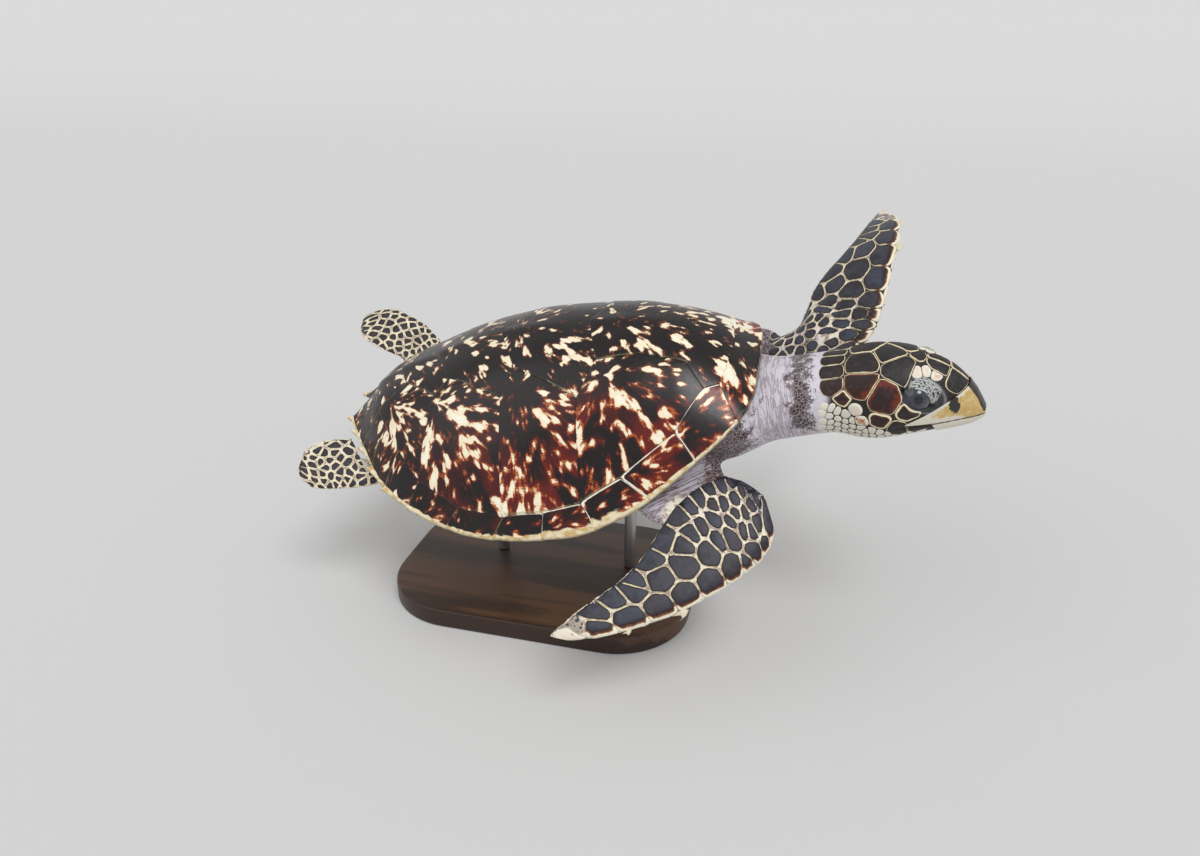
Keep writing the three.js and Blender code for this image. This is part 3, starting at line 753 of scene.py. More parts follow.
@dataclass
class Shell:
    """The upper shell: one piece of horn for each packed plate."""

    form: ShellForm = field(default_factory=ShellForm)  # the shell's arched form
    spacing: float = 2.2 * MM  # distance between the points of a plate's surface
    depth: float = 5 * MM  # thickness of a plate
    rim_depth: float = 2.6 * MM  # thickness at the free outer rim
    edge: float = 0.7 * MM  # radius of a plate's rounded edge
    keel: float = 1.2 * MM  # height of the keel along the middle

    def outline(self, node: str) -> Array:
        """The plan outline of a packed plate, anticlockwise from above.

        Args:
            node: the plate's name.

        Returns:
            The outline's points.
        """
        solid = copy_nodes("outline", [node])
        points = BODY.to_body(points_of(solid)) * BODY.length
        gaps = np.linalg.norm(points[:, None, :2] - points[None, :, :2], axis=2)
        above = points[None, :, 2] - points[:, None, 2] > 1 * MM
        on_top = ~((gaps < 0.05 * MM) & above).any(1)
        up = BODY.direction(0, 0, 1)
        ahead = {}
        for wall in (f for f in solid.data.polygons if abs(f.normal.dot(up)) < 0.02):
            corners = list(wall.vertices)
            for first, last in zip(corners, corners[1:] + corners[:1]):
                if on_top[first] and on_top[last]:
                    ahead[last] = first
        bpy.data.objects.remove(solid)
        vert = next(iter(ahead))
        loop = []
        while vert in ahead:
            loop.append(points[vert, :2])
            vert = ahead.pop(vert)
        return np.array(loop)

    def overhang(self, outline: Array, style: PlateStyle, side: float) -> Array:
        """The outline with its rear edge pushed out over the next plate.

        Args:
            outline: the plate's own outline.
            style: the shape of its row.
            side: 1 on the left, -1 on the right, 0 in the middle.

        Returns:
            The wider outline.
        """
        ahead = np.roll(outline, -1, 0) - np.roll(outline, 1, 0)
        out = np.stack([ahead[:, 1], -ahead[:, 0]], 1)
        out /= np.linalg.norm(out, axis=1)[:, None]
        rearwards = np.array([-1.0, 0.35 * side * (style.side_lift > 0)])
        reach = np.clip(out @ (rearwards / np.linalg.norm(rearwards)), 0, 1)
        return outline + out * (reach * style.overlap)[:, None]

    def build_plate(self, node: str) -> Object:
        """Builds the piece of horn that stands for one packed plate.

        Args:
            node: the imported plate's name.

        Returns:
            The finished mesh object, without its material.
        """
        row = PlateRow.of(node)
        style = row.value[1]
        side = 1.0 if "left" in node else -1.0 if "right" in node else 0.0
        seam = self.outline(node)
        outline = self.overhang(refine(seam, self.spacing), style, side)
        plan, faces = fill_outline(outline, self.spacing)
        rear, front = seam[:, 0].min(), seam[:, 0].max()
        inner, outer = np.abs(seam[:, 1]).min(), np.abs(seam[:, 1]).max()

        def surface(points: Array) -> Array:
            """Height of the plate's top over plan points.

            Args:
                points: plan points.

            Returns:
                The heights.
            """
            x, y = points.T
            height = self.form.height(x / BODY.length, y / BODY.length) * BODY.length
            back = np.clip((front - x) / (front - rear), 0, 1)
            height = height + style.lift * back ** 1.6
            if style.side_lift:
                across = np.clip((np.abs(y) - inner) / (outer - inner), 0, 1)
                height = height + style.side_lift * across ** 2
            if row is PlateRow.VERTEBRAL:
                ridge = np.exp(-(y / (7 * MM)) ** 2)
                height = height + self.keel * ridge * smoothstep(0.1, 0.9, back)
            return height

        def on_rim(edge: bmesh.types.BMEdge) -> bool:
            """Whether an edge is one of the outline's, whose vertices come first."""
            start, end = sorted(v.index for v in edge.verts)
            return end < len(outline) and end - start in (1, len(outline) - 1)

        top = np.column_stack([plan, surface(plan)])
        plate = new_mesh(node.replace("scute", "plate"), top, faces)
        with edit_mode(plate):
            move = {"value": (0, 0, -self.depth)}
            bpy.ops.mesh.extrude_region_move(TRANSFORM_OT_translate=move)
            bpy.ops.mesh.select_all(action="SELECT")
            bpy.ops.mesh.normals_make_consistent(inside=False)
            pick_edges(plate, on_rim)
            bpy.ops.mesh.bevel(offset=self.edge, segments=3, profile=0.55, affect="EDGES")
        points = points_of(plate)
        at_rim = self.form.half_width(points[:, 0] / BODY.length) * BODY.length
        thin = smoothstep(12 * MM, 2 * MM, at_rim - np.abs(points[:, 1]))
        below = surface(points[:, :2]) - points[:, 2] > 0.6 * self.depth
        points[below, 2] += ((self.depth - self.rim_depth) * thin)[below]
        self.mark(plate, points, seam, style, side)
        move_points(plate, BODY.to_world(points / BODY.length))
        return plate

    def mark(self, plate: Object, points: Array, seam: Array,
             style: PlateStyle, side: float) -> None:
        """Stores what the horn's pattern needs on a plate.

        Args:
            plate: the mesh object.
            points: its vertices in body metres.
            seam: the plate's own outline.
            style: the shape of its row.
            side: 1 on the left, -1 on the right, 0 in the middle.
        """
        low, high = seam.min(0), seam.max(0)
        share = np.array(style.growth)
        if side < 0:
            share[1] = 1 - share[1]
        centre = low + (high - low) * share
        rel = points[:, :2] - centre
        reach = np.linalg.norm(rel, axis=1)
        turn = rel / np.maximum(reach, 1e-6)[:, None]
        store(plate, "seam", outline_distance(points[:, :2], seam) / MM)
        number = (sum(map(ord, plate.name)) * 7) % 31
        store(plate, "plate", np.full(len(points), float(number)))
        x, y, z = points.T / BODY.length
        step = 0.01 * turn.T
        rise = self.form.height(x + step[0], y + step[1]) - self.form.height(x, y)
        ray = BODY.to_world(np.column_stack([x + step[0], y + step[1], z + rise]))
        ray = ray - BODY.to_world(np.column_stack([x, y, z]))
        store(plate, "ray", ray / np.linalg.norm(ray, axis=1)[:, None])
        across = np.abs(y) / self.form.half_width(x)
        front = smoothstep(-0.3, 0.15, x)
        edge = plate.name.startswith("marginal")
        store(plate, "warm", smoothstep(0.35, 0.7, across) * (0.3 + 0.7 * front))
        nape = np.exp(-((x - 0.455) / 0.035) ** 2 - ((np.abs(y) - 0.09) / 0.035) ** 2)
        rear = smoothstep(-0.3, -0.48, x)
        middle = smoothstep(0.05, 0.3, across) * smoothstep(1.0, 0.6, across)
        store(plate, "bright", 0.16 * nape - 0.02 * rear + 0.02 * middle)
        rim = (self.form.half_width(x) - np.abs(y)) * BODY.length / MM
        wide = 1 + 1.7 * np.exp(-((x - 0.17) / 0.12) ** 2)
        store(plate, "rim", np.where(edge, rim / wide, 50.0))
        store(plate, "paleline", smoothstep(-0.02, 0.06, x) * edge)

    def build(self, horn: Material) -> None:
        """Builds and dresses every plate."""
        for node in sorted(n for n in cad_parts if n.endswith("scute") or "_scute_" in n):
            finish_piece(self.build_plate(node), horn, [node])


# ---- the head's form


@dataclass(frozen=True)
class HeadForm:
    """The head's frame and the form of its sections, in head lengths."""

    back: tuple = (0.678, -0.003, -0.036)  # where the head meets the neck, in the body frame
    tip: tuple = (0.947, -0.048, -0.067)  # the end of the bill, in the body frame
    square: float = 2.25  # power of the sections' outline
    half_width: Callable = curve_through([
        (-0.12, 0.3), (0, 0.335), (0.15, 0.365), (0.32, 0.37), (0.5, 0.325), (0.68, 0.25),
        (0.82, 0.168), (0.93, 0.1), (1, 0.045),
    ])
    top: Callable = curve_through([
        (-0.12, 0.28), (0, 0.35), (0.15, 0.4), (0.32, 0.425), (0.5, 0.42), (0.68, 0.375),
        (0.82, 0.29), (0.93, 0.16), (1, 0.03),
    ])
    bottom: Callable = curve_through([
        (-0.12, 0.3), (0, 0.33), (0.2, 0.325), (0.4, 0.25), (0.6, 0.18), (0.8, 0.145),
        (0.93, 0.11), (1, 0.05),
    ])

    @property
    def length(self) -> float:
        """Length of the head."""
        return float(np.linalg.norm(np.subtract(self.tip, self.back))) * BODY.length

    @property
    def axes(self) -> Array:
        """Rows: the head's forward, left and up in the row frame.

        Returns:
            The unit directions.
        """
        forward = unit(np.subtract(self.tip, self.back))
        left = unit(np.cross((0, 0, 1), forward))
        return np.array([forward, left, np.cross(forward, left)]) @ np.array(BODY.turn).T

    def to_world(self, points: Array) -> Array:
        """Head points, in head lengths, as row points in metres."""
        origin = np.array(BODY.at(*self.back))
        return np.asarray(points, float) * self.length @ self.axes + origin

    def to_head(self, points: Array) -> Array:
        """Row points as head points, in head lengths."""
        origin = np.array(BODY.at(*self.back))
        return (np.asarray(points, float) - origin) @ self.axes.T / self.length

    def section(self, station: float, angle: float) -> Array:
        """A row point on the form: angle 0 on the left side, 90 on the crown.

        Args:
            station: place along the head.
            angle: degrees round the section.

        Returns:
            The point.
        """
        c, s = math.cos(math.radians(angle)), math.sin(math.radians(angle))
        reach = 1 / (abs(c) ** self.square + abs(s) ** self.square) ** (1 / self.square)
        rise = self.top(station) if s > 0 else self.bottom(station)
        point = [station, c * reach * self.half_width(station), s * reach * rise]
        return self.to_world(np.array([point]))[0]


HEAD = HeadForm()


def mouth_line(station: Array) -> Array:
    """Height of the mouth's line in the head's frame, in head lengths."""
    return -0.03 * smoothstep(0.56, 0.42, station)


def node_centre(node: str) -> Array:
    """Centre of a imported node's box."""
    low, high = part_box(node)
    return (np.array(low) + np.array(high)) / 2


# ---- the skin


@dataclass
class Skin:
    """One skin over all the flesh, with the lids, folds and wrinkles in it."""

    cell: float = 2.35 * MM  # size of the net that the surface is drawn with
    grow: float = 0.7 * MM  # how far the parts are swollen so that they run together
    coat: float = 0.6 * MM  # depth of the scales that lie over the skin
    lid: float = 1.1 * MM  # thickness of the eyelids
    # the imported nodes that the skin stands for
    flesh: tuple = (
        "head", "lower_jaw", "neck", "trunk", "fore_flipper_right", "fore_flipper_left",
        "hind_flipper_right", "hind_flipper_left", "tail",
    )
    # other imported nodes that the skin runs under
    backing: tuple = ("upper_beak", "lower_beak", "eye_left", "eye_right")
    # plan place, spread and reach of what the raised arm is drawn forward
    shoulder: tuple = ((0.47, 0.3), (0.09, 0.06), 0.065)
    slant: float = 38.0  # degrees that the folds are turned outwards
    blade_root: float = -0.06  # flipper station where the blades start
    # place and size of the fold on each side, by the side's sign
    folds: ClassVar[dict] = {
        -1: ((0.3, -0.26, -0.112), (0.1, 0.05, 0.034)),
        1: ((0.36, 0.25, -0.085), (0.1, 0.05, 0.034)),
    }

    def build(self) -> Object:
        """Builds the skin's mesh, without its material.

        Returns:
            The skin.
        """
        skin = copy_nodes("skin", self.flesh + self.backing)
        for side in (-1, 1):
            self.add_fold(skin, side)
        apply_modifier(skin, "DISPLACE", strength=self.grow, mid_level=0)
        apply_modifier(skin, "REMESH", mode="VOXEL", voxel_size=self.cell)
        self.slim_shoulder(skin)
        apply_modifier(skin, "SMOOTH", factor=0.5, iterations=6)
        self.mark_soft(skin)
        apply_modifier(skin, "SMOOTH", factor=0.5, iterations=30, vertex_group="soft")
        apply_modifier(skin, "DISPLACE", strength=-self.grow - self.coat, mid_level=0)
        self.refine_where(skin, lambda p: HEAD.to_head(p)[:, 0] > -0.1)
        self.refine_where(skin, self.near_eyes)
        apply_modifier(skin, "SMOOTH", factor=0.5, iterations=2)
        self.open_eyes(skin)
        self.groove_mouth(skin)
        self.mark(skin)
        return skin

    def add_fold(self, skin: Object, side: int) -> None:
        """Adds the fold of skin between the shell and the root of a fore flipper.

        Args:
            skin: the mesh that it is added to.
            side: 1 for the left flipper, -1 for the right.
        """
        place, size = self.folds[side]
        turn = BODY.turn.to_4x4() @ Matrix.Rotation(math.radians(side * self.slant), 4, "Z")
        with edit_mode(skin, "DESELECT"):
            bpy.ops.mesh.primitive_uv_sphere_add(segments=32, ring_count=16, radius=1,
                                                 location=(0, 0, 0))
            bpy.ops.transform.resize(value=[r * BODY.length for r in size])
            form = bmesh.from_edit_mesh(skin.data)
            chosen = [v for v in form.verts if v.select]
            matrix = Matrix.Translation(BODY.at(*place)) @ turn
            bmesh.ops.transform(form, verts=chosen, matrix=matrix)
            bmesh.update_edit_mesh(skin.data)

    def slim_shoulder(self, skin: Object) -> None:
        """Draws the rear edge of the raised left arm forward.

        Args:
            skin: the mesh.
        """
        points = BODY.to_body(points_of(skin))
        (x, y), (wide, deep), reach = self.shoulder
        near = ((points[:, 0] - x) / wide) ** 2 + ((points[:, 1] - y) / deep) ** 2
        points[:, 0] += reach * np.exp(-near)
        move_points(skin, BODY.to_world(points))

    def mark_soft(self, skin: Object) -> None:
        """Puts all but the blades of the flippers in the vertex group that is smoothed.

        Args:
            skin: the mesh.
        """
        body = copy_nodes("body", [n for n in self.flesh + self.backing if "flipper" not in n])
        tree = BVHTree.FromObject(body, bpy.context.evaluated_depsgraph_get())
        near = [i for i, v in enumerate(skin.data.vertices) if tree.find_nearest(v.co)[3] < 2 * MM]
        skin.vertex_groups.new(name="soft").add(near, 1.0, "REPLACE")
        bpy.data.objects.remove(body)

    def refine_where(self, skin: Object, region: Callable) -> None:
        """Subdivides the faces whose vertices all lie in a region.

        Args:
            skin: the mesh.
            region: says of points which lie in it.
        """
        inside = region(points_of(skin))
        with edit_mode(skin, "DESELECT"):
            bpy.ops.mesh.select_mode(type="VERT")
        skin.data.vertices.foreach_set("select", inside)
        bpy.ops.object.mode_set(mode="EDIT")
        bpy.ops.mesh.subdivide(number_cuts=1, smoothness=0)
        bpy.ops.object.mode_set(mode="OBJECT")

    def groove_mouth(self, skin: Object) -> None:
        """Presses the line of the mouth into the skin, behind the bill.

        Args:
            skin: the mesh.
        """
        points, normals = points_of(skin), normals_of(skin)
        station, _, up = HEAD.to_head(points).T
        line = up - mouth_line(station)
        press = np.exp(-(line * HEAD.length / (0.9 * MM)) ** 2)
        press *= smoothstep(0.36, 0.44, station) * 1.4 * MM
        move_points(skin, points - normals * press[:, None])

    def mark(self, skin: Object) -> None:
        """Stores the zones that the skin's finish reads.

        Args:
            skin: the mesh.
        """
        points = points_of(skin)
        station = HEAD.to_head(points)[:, 0]
        x, y, z = BODY.to_body(points).T
        blade = np.zeros(len(points))
        for flipper in FLIPPERS:
            away = nearness(points, flipper.rings[flipper.stations > self.blade_root].reshape(-1, 3))
            blade = np.maximum(blade, smoothstep(6 * MM, 3 * MM, away))
        front = smoothstep(-0.13, -0.07, station)
        band = np.exp(-((x - 0.585) / 0.033) ** 2) * smoothstep(-0.11, -0.05, z)
        base = smoothstep(0.53, 0.5, x) * smoothstep(0.36, 0.42, x) * 0.3
        armpit = np.exp(-((x - 0.44) / 0.06) ** 2) * smoothstep(0.1, 0.15, np.abs(y))
        armpit *= smoothstep(0.04, -0.02, z)
        dusk = np.clip(band * 0.85 + base + armpit, 0, 1) * (1 - front) * (1 - blade)
        lid, ring, light = np.zeros((3, len(points)))
        for eye in EYES:
            out, along, above = (eye.to_eye(points) / MM).T
            reach = np.hypot((along - 1) / 18.5, (above - 3.5) / 11.5)
            lid = np.maximum(lid, (out > 0) * smoothstep(1.08, 0.9, reach))
            ring = np.where(out > 0, eye.opening(along * MM, above * MM) / MM * 4.2, ring)
            # painted highlight: the top of each upper lid is painted light grey where light falls on
            # it
            bright = smoothstep(14, 8, np.hypot(along - 1.5, above - 7.5))
            light = np.where(out > 0, bright, light)
        store(skin, "zones", np.column_stack([blade, dusk, lid]))
        store(skin, "lidring", ring)
        store(skin, "lidlight", light)
        store(skin, "shade", front * (1 - lid))
        neck = smoothstep(0.62, 0.56, x) * smoothstep(0.3, 0.42, x) * 0.6
        shoulder = smoothstep(0.46, 0.38, x) * (np.abs(y) > 0.12)
        away = 0.6 * x + 0.8 * np.abs(y) - 0.8 * z
        fold = np.where(shoulder > neck, away, x + 0.1 * z) * BODY.length / MM
        store(skin, "fold", fold)
        # painted shade: where crease is high, the finish paints the wrinkle lines brown for the
        # shade in their creases
        crease = np.clip(neck + shoulder, 0, 1) * (1 - front) * (1 - blade)
        store(skin, "crease", crease)

    def near_eyes(self, points: Array) -> Array:
        """Which points lie round an eye.

        Args:
            points: row points.

        Returns:
            True for each point that does.
        """
        near = [np.linalg.norm(points - node_centre(n), axis=1) < 17 * MM
                for n in ("eye_left", "eye_right")]
        return near[0] | near[1]

    def open_eyes(self, skin: Object) -> None:
        """Lays the lids on the eyeballs and opens them.

        Args:
            skin: the mesh.
        """
        points = points_of(skin)
        for eye in EYES:
            local = eye.to_eye(points)
            reach = np.linalg.norm(local, axis=1)
            turned = local / np.maximum(reach, 1e-9)[:, None] * eye.radius
            opening = eye.opening(turned[:, 1], turned[:, 2])
            facing = turned[:, 0] > 0.15 * eye.radius
            inside = facing & (opening < 0) & (reach < 1.3 * eye.radius)
            depth = smoothstep(0, -0.9 * MM, opening)
            outer = eye.radius + self.lid
            level = outer - (self.lid + 1.2 * MM) * depth
            near = facing & (opening >= 0) & (reach < outer)
            target = np.where(inside, level, np.where(near, outer, reach))
            points = eye.to_world(local * (target / np.maximum(reach, 1e-9))[:, None])
        move_points(skin, points)


@dataclass(frozen=True)
class Eye:
    """An eyeball and the opening of its lids."""

    node: str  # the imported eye
    side: int  # 1 on the left, -1 on the right
    width: float = 24.5 * MM  # width of the opening
    height: float = 13.4 * MM  # height of the opening
    tilt: float = 25.0  # degrees that the front corner lies below the rear one
    drop: float = 0.0  # how far the opening lies below the ball's middle
    inset: float = 1.1 * MM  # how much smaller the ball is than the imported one

    @property
    def radius(self) -> float:
        """Radius of the eyeball."""
        low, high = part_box(self.node)
        return (high[2] - low[2]) / 2 - self.inset

    @property
    def axes(self) -> Array:
        """Rows: outwards, towards the beak and up, in the row frame.

        Returns:
            The unit directions.
        """
        forward, left, up = HEAD.axes
        out = unit(self.side * left * 0.86 + up * 0.42 + forward * 0.28)
        ahead = unit(forward - out * forward.dot(out))
        rise = np.cross(out, ahead)
        rise = rise if rise.dot(up) > 0 else -rise
        turn = math.radians(self.tilt)
        along = ahead * math.cos(turn) - rise * math.sin(turn)
        above = ahead * math.sin(turn) + rise * math.cos(turn)
        return np.array([out, along, above])

    def to_eye(self, points: Array) -> Array:
        """Row points as metres out, ahead and up from the ball's centre."""
        return (points - node_centre(self.node)) @ self.axes.T

    def to_world(self, points: Array) -> Array:
        """Points of the eye's own frame in the row frame."""
        return points @ self.axes + node_centre(self.node)

    def opening(self, along: Array, above: Array) -> Array:
        """How far a point lies outside the lids' opening.

        Args:
            along: places towards the beak.
            above: places up the eye.

        Returns:
            The distances, below 0 inside.
        """
        x = along / (self.width / 2)
        y = (above + self.drop) / (self.height / 2)
        edge = np.maximum(1 - np.abs(x) ** 1.8, 0) * np.where(y > 0, 1.0, 0.9)
        return np.where(np.abs(x) < 1, (np.abs(y) - edge) * self.height / 2,
                        np.hypot(np.abs(along) - self.width / 2, above + self.drop))

    def build(self, material: Material) -> None:
        """Builds and dresses the eyeball.

        Args:
            material: its finish.
        """
        deselect_all()
        bpy.ops.mesh.primitive_uv_sphere_add(segments=48, ring_count=32, radius=self.radius)
        ball = bpy.context.object
        ball.name = self.node.replace("eye", "eyeball")
        local = points_of(ball)[:, [2, 0, 1]] * np.array([1, 1, self.side])
        store(ball, "gaze", local / self.radius)
        swell = 1 + 0.04 * smoothstep(0.75, 0.95, local[:, 0] / self.radius)
        move_points(ball, self.to_world(local * swell[:, None]))
        with edit_mode(ball):
            bpy.ops.mesh.normals_make_consistent(inside=False)
        finish_piece(ball, material, [self.node])


EYES = (Eye("eye_left", 1), Eye("eye_right", -1))


# ---- the bill


@dataclass
class Bill:
    """The horny sheaths of the upper and the lower jaw."""

    cell: float = 0.8 * MM  # size of the net that they are drawn with
    thickness: float = 1.3 * MM  # thickness of the horn
    slope: float = 0.6  # how fast the upper sheath's edge rises to the front
    root: float = 0.46  # head station where that edge meets the mouth
    lower_root: float = 0.65  # head station where the lower sheath starts
    gape: float = 0.25 * MM  # half the width of the mouth's line
    nodes: tuple = ("head", "lower_jaw", "upper_beak", "lower_beak")

    def whole(self, name: str) -> Object:
        """The front of the head as one smooth body.

        Args:
            name: the body's name.

        Returns:
            The body.
        """
        body = copy_nodes(name, self.nodes)
        apply_modifier(body, "DISPLACE", strength=0.6 * MM, mid_level=0)
        redraw(body, self.cell, 8)
        apply_modifier(body, "DISPLACE", strength=-0.5 * MM, mid_level=0)
        return body

    def cut(self, body: Object, point: Sequence[float],
            normal: Sequence[float]) -> None:
        """Cuts off what lies beyond a plane, given in head measures.

        Args:
            body: the mesh that is cut.
            point: a point of the plane.
            normal: the direction of what is cut off.
        """
        place = HEAD.to_world(np.array([point]))[0]
        out = np.array(normal) @ HEAD.axes
        with edit_mode(body):
            bpy.ops.mesh.bisect(plane_co=place, plane_no=out, clear_outer=True)

    def mark(self, bill: Object) -> None:
        """Stores the pale edges, the dark ridge of painted shade, the dark patch, and the distance
        to the mouth's line, along which the finish paints a line of shade.

        Args:
            bill: one of the sheaths.
        """
        station, left, up = HEAD.to_head(points_of(bill)).T
        low = smoothstep(0.075, 0.02, up) * smoothstep(0.92, 0.8, station)
        pale = np.maximum(np.maximum(low, smoothstep(0.72, 0.6, station)), 0.8 * (up < 0))
        border = self.slope * (station - self.root) - up
        pale = np.maximum(pale, 0.75 * smoothstep(0.04, 0.015, border) * (station > 0.6))
        # painted shade: a dark stripe along the top of the bill's front, where its far side lies in
        # shade
        top = HEAD.top(station) - up
        ridge = smoothstep(0.075, 0.045, np.abs(left)) * smoothstep(0.06, 0.03, top)
        ridge *= (up > 0.02) * smoothstep(0.78, 0.84, station)
        across, along = station - 0.778 - 0.2 * (0.14 - up), up - 0.135
        patch = np.exp(-(across / 0.04) ** 2 - (along / 0.075) ** 2)
        store(bill, "bill", np.column_stack([pale, ridge, patch * (up > 0.02)]))
        # painted shade: distance in mm to the mouth's line, where the finish paints the shadow in
        # the gap between the bills
        store(bill, "edge", np.abs(up) * HEAD.length / MM)

    def build(self, material: Material) -> None:
        """Builds and dresses both sheaths.

        Args:
            material: their finish.
        """
        gape = self.gape / HEAD.length
        upper = self.whole("upper_bill")
        self.cut(upper, (0, 0, gape), (0, 0, -1))
        self.cut(upper, (self.root, 0, 0), (-self.slope, 0, 1))
        lower = self.whole("lower_bill")
        self.cut(lower, (0, 0, -gape), (0, 0, 1))
        self.cut(lower, (self.lower_root, 0, 0), (-1, 0, -0.45))
        for bill, node in ((upper, "upper_beak"), (lower, "lower_beak")):
            apply_modifier(bill, "SOLIDIFY", thickness=self.thickness, offset=-1)
            self.mark(bill)
            finish_piece(bill, material, [node])


BILL = Bill()


# ---- claws and belly


@dataclass
class Claws:
    """The claws on the leading edges of the fore flippers."""

    broad: float = 2.3  # how much broader they are along the flipper
    upright: float = 0.45  # the share of their slant that they keep
    sunk: float = 0.8 * MM  # how far they are sunk in the skin
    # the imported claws
    nodes: tuple = ("claw_main_left", "claw_small_left", "claw_main_right", "claw_small_right")

    def build(self, material: Material) -> None:
        """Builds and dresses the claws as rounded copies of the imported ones.

        Args:
            material: their finish.
        """
        for node in self.nodes:
            claw = copy_nodes(node.replace("claw", "hooked_claw"), [node])
            redraw(claw, 0.35 * MM, 3)
            points = points_of(claw)
            spine = BODY.to_world(FLIPPERS[node.endswith("left")].line)
            away = np.linalg.norm(points[:, None] - spine[None], axis=2).min(1)
            base = points[away < away.min() + 1.5 * MM].mean(0)
            along = unit(spine[-1] - spine[0])
            axis = points[np.argmax(away)] - base
            out = axis - along * axis.dot(along)
            slant = axis.dot(along) / np.linalg.norm(out)
            out = unit(out)
            lean = slant * ((points - base) @ out)
            across = (points - base) @ along - lean
            shift = (self.broad - 1) * across + (self.upright - 1) * lean
            move_points(claw, points + np.outer(shift, along) - out * self.sunk)
            finish_piece(claw, material, [node])


@dataclass
class BellyPlate:
    """The plastron, with the seams of its horn plates."""

    cell: float = 2.0 * MM  # size of the net that it is drawn with
    # stations of the cross seams, in shell lengths
    seams: tuple = (0.3, 0.2, 0.06, -0.09, -0.22, -0.32)
    side: float = 0.22  # how far out the rows along the bridge start, in shell lengths

    def build(self, material: Material) -> None:
        """Builds and dresses the belly plate.

        Args:
            material: its finish.
        """
        belly = copy_nodes("belly_plate", ["plastron"])
        redraw(belly, self.cell, 4)
        self.mark(belly)
        finish_piece(belly, material, ["plastron"])

    def mark(self, belly: Object) -> None:
        """Stores the distance to the nearest seam of the belly's horn plates.

        Args:
            belly: the mesh.
        """
        x, y, _ = (BODY.to_body(points_of(belly)) * BODY.length / MM).T
        length, out = BODY.length / MM, np.abs(y)
        gaps = [out]
        for station in self.seams:
            gaps.append(np.abs(x - station * length + 0.12 * out * math.copysign(1, station)))
        gaps.append(np.where(np.abs(x) < 0.19 * length, np.abs(out - self.side * length), 99))
        store(belly, "seam", np.min(gaps, axis=0))


# ---- the stand


@dataclass
class Stand:
    """The display stand: a rounded wooden base and two steel rods."""

    size: tuple = (0.25, 0.17, 0.016)  # length, width and thickness of the base
    corner: float = 0.06  # radius of its corners
    edge: float = 0.002  # radius of its rounded edges
    rods: tuple = ("stand_rod_rear", "stand_rod_front")

    def build_base(self) -> Object:
        """Models the base from a cube with rounded corners.

        Returns:
            The base.
        """
        deselect_all()
        bpy.ops.mesh.primitive_cube_add(size=1)
        base = bpy.context.object
        base.name = "base_board"
        with edit_mode(base):
            bpy.ops.transform.resize(value=self.size)
            bpy.ops.transform.translate(value=(0, 0, self.size[2] / 2))
            self.bevel(base, self.corner, 16, upright=True)
            self.bevel(base, self.edge, 4, upright=False)
        bpy.ops.object.shade_smooth_by_angle(angle=math.radians(35))
        return base

    def bevel(self, base: Object, width: float, segments: int, upright: bool) -> None:
        """Rounds edges of the base.

        Args:
            base: the base, in edit mode.
            width: radius of the rounding.
            segments: how many flat strips it has.
            upright: whether the upright edges are rounded, or those of both flat faces.
        """

        def chosen(edge: bmesh.types.BMEdge) -> bool:
            """Whether an edge is one of them.

            Args:
                edge: the edge.

            Returns:
                True if it is.
            """
            stands = abs((edge.verts[0].co - edge.verts[1].co).normalized().z) > 0.9
            flat = sum(abs(face.normal.z) > 0.9 for face in edge.link_faces) == 1
            return stands if upright else flat and not stands

        pick_edges(base, chosen)
        bpy.ops.mesh.bevel(offset=width, segments=segments, affect="EDGES")

    def build_rod(self, node: str) -> Object:
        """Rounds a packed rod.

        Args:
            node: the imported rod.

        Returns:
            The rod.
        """
        rod = copy_nodes(node.replace("stand_rod", "steel_rod"), [node])
        redraw(rod, 0.6 * MM, 3)
        return rod

    def build(self, wood: Material, steel: Material) -> None:
        """Builds and dresses the stand.

        Args:
            wood: the base's finish.
            steel: the rods' finish.
        """
        finish_piece(self.build_base(), wood, ["stand_base"], smooth=False)
        for node in self.rods:
            finish_piece(self.build_rod(node), steel, [node])


# ---- the scales


class Surface:
    """A mesh that scales are laid on."""

    def __init__(self, obj: Object) -> None:
        """Takes the mesh as it stands.

        Args:
            obj: the mesh object.
        """
        self.tree = BVHTree.FromObject(obj, bpy.context.evaluated_depsgraph_get())
        self.normals = normals_of(obj)
        self.corners = [tuple(p.vertices) for p in obj.data.polygons]

    def drop(self, points: Array) -> tuple[Array, Array]:
        """The nearest surface points and their outward normals.

        Args:
            points: row points.

        Returns:
            The places on the surface and the unit normals.
        """
        places, normals = [], []
        for point in points:
            place, _, face, _ = self.tree.find_nearest(Vector(point))
            normal = self.normals[list(self.corners[face])].mean(0)
            places.append(place)
            normals.append(unit(normal))
        return np.array(places), np.array(normals)


@dataclass(frozen=True)
class ScaleStyle:
    """How one scale is built up."""

    sides: int  # points round its outline
    # from the outline in, the share of the way from the middle and the share of the scale's
    # height
    rings: tuple


class ScaleSize(Enum):
    """The three builds of scales."""

    LARGE = ScaleStyle(24, ((1, -0.5), (1, 0.5), (0.95, 0.86), (0.87, 1), (0.6, 1.1), (0.3, 1.14)))
    MEDIUM = ScaleStyle(14, ((1, -0.5), (0.99, 0.5), (0.9, 0.95), (0.55, 1.08)))
    SMALL = ScaleStyle(9, ((1, -0.6), (0.94, 0.6), (0.72, 1)))


@dataclass
class Look:
    """What a scale's finish reads."""

    pale: float = 0.0  # 0 for a dark scale, 1 for one of the ground colour
    warm: float = 0.0  # 0 for a cool ground, 1 for red-brown
    margin: float = 0.62 * MM  # width of its pale margin
    tone: float = 0.9  # 0 for slate, 1 for olive black


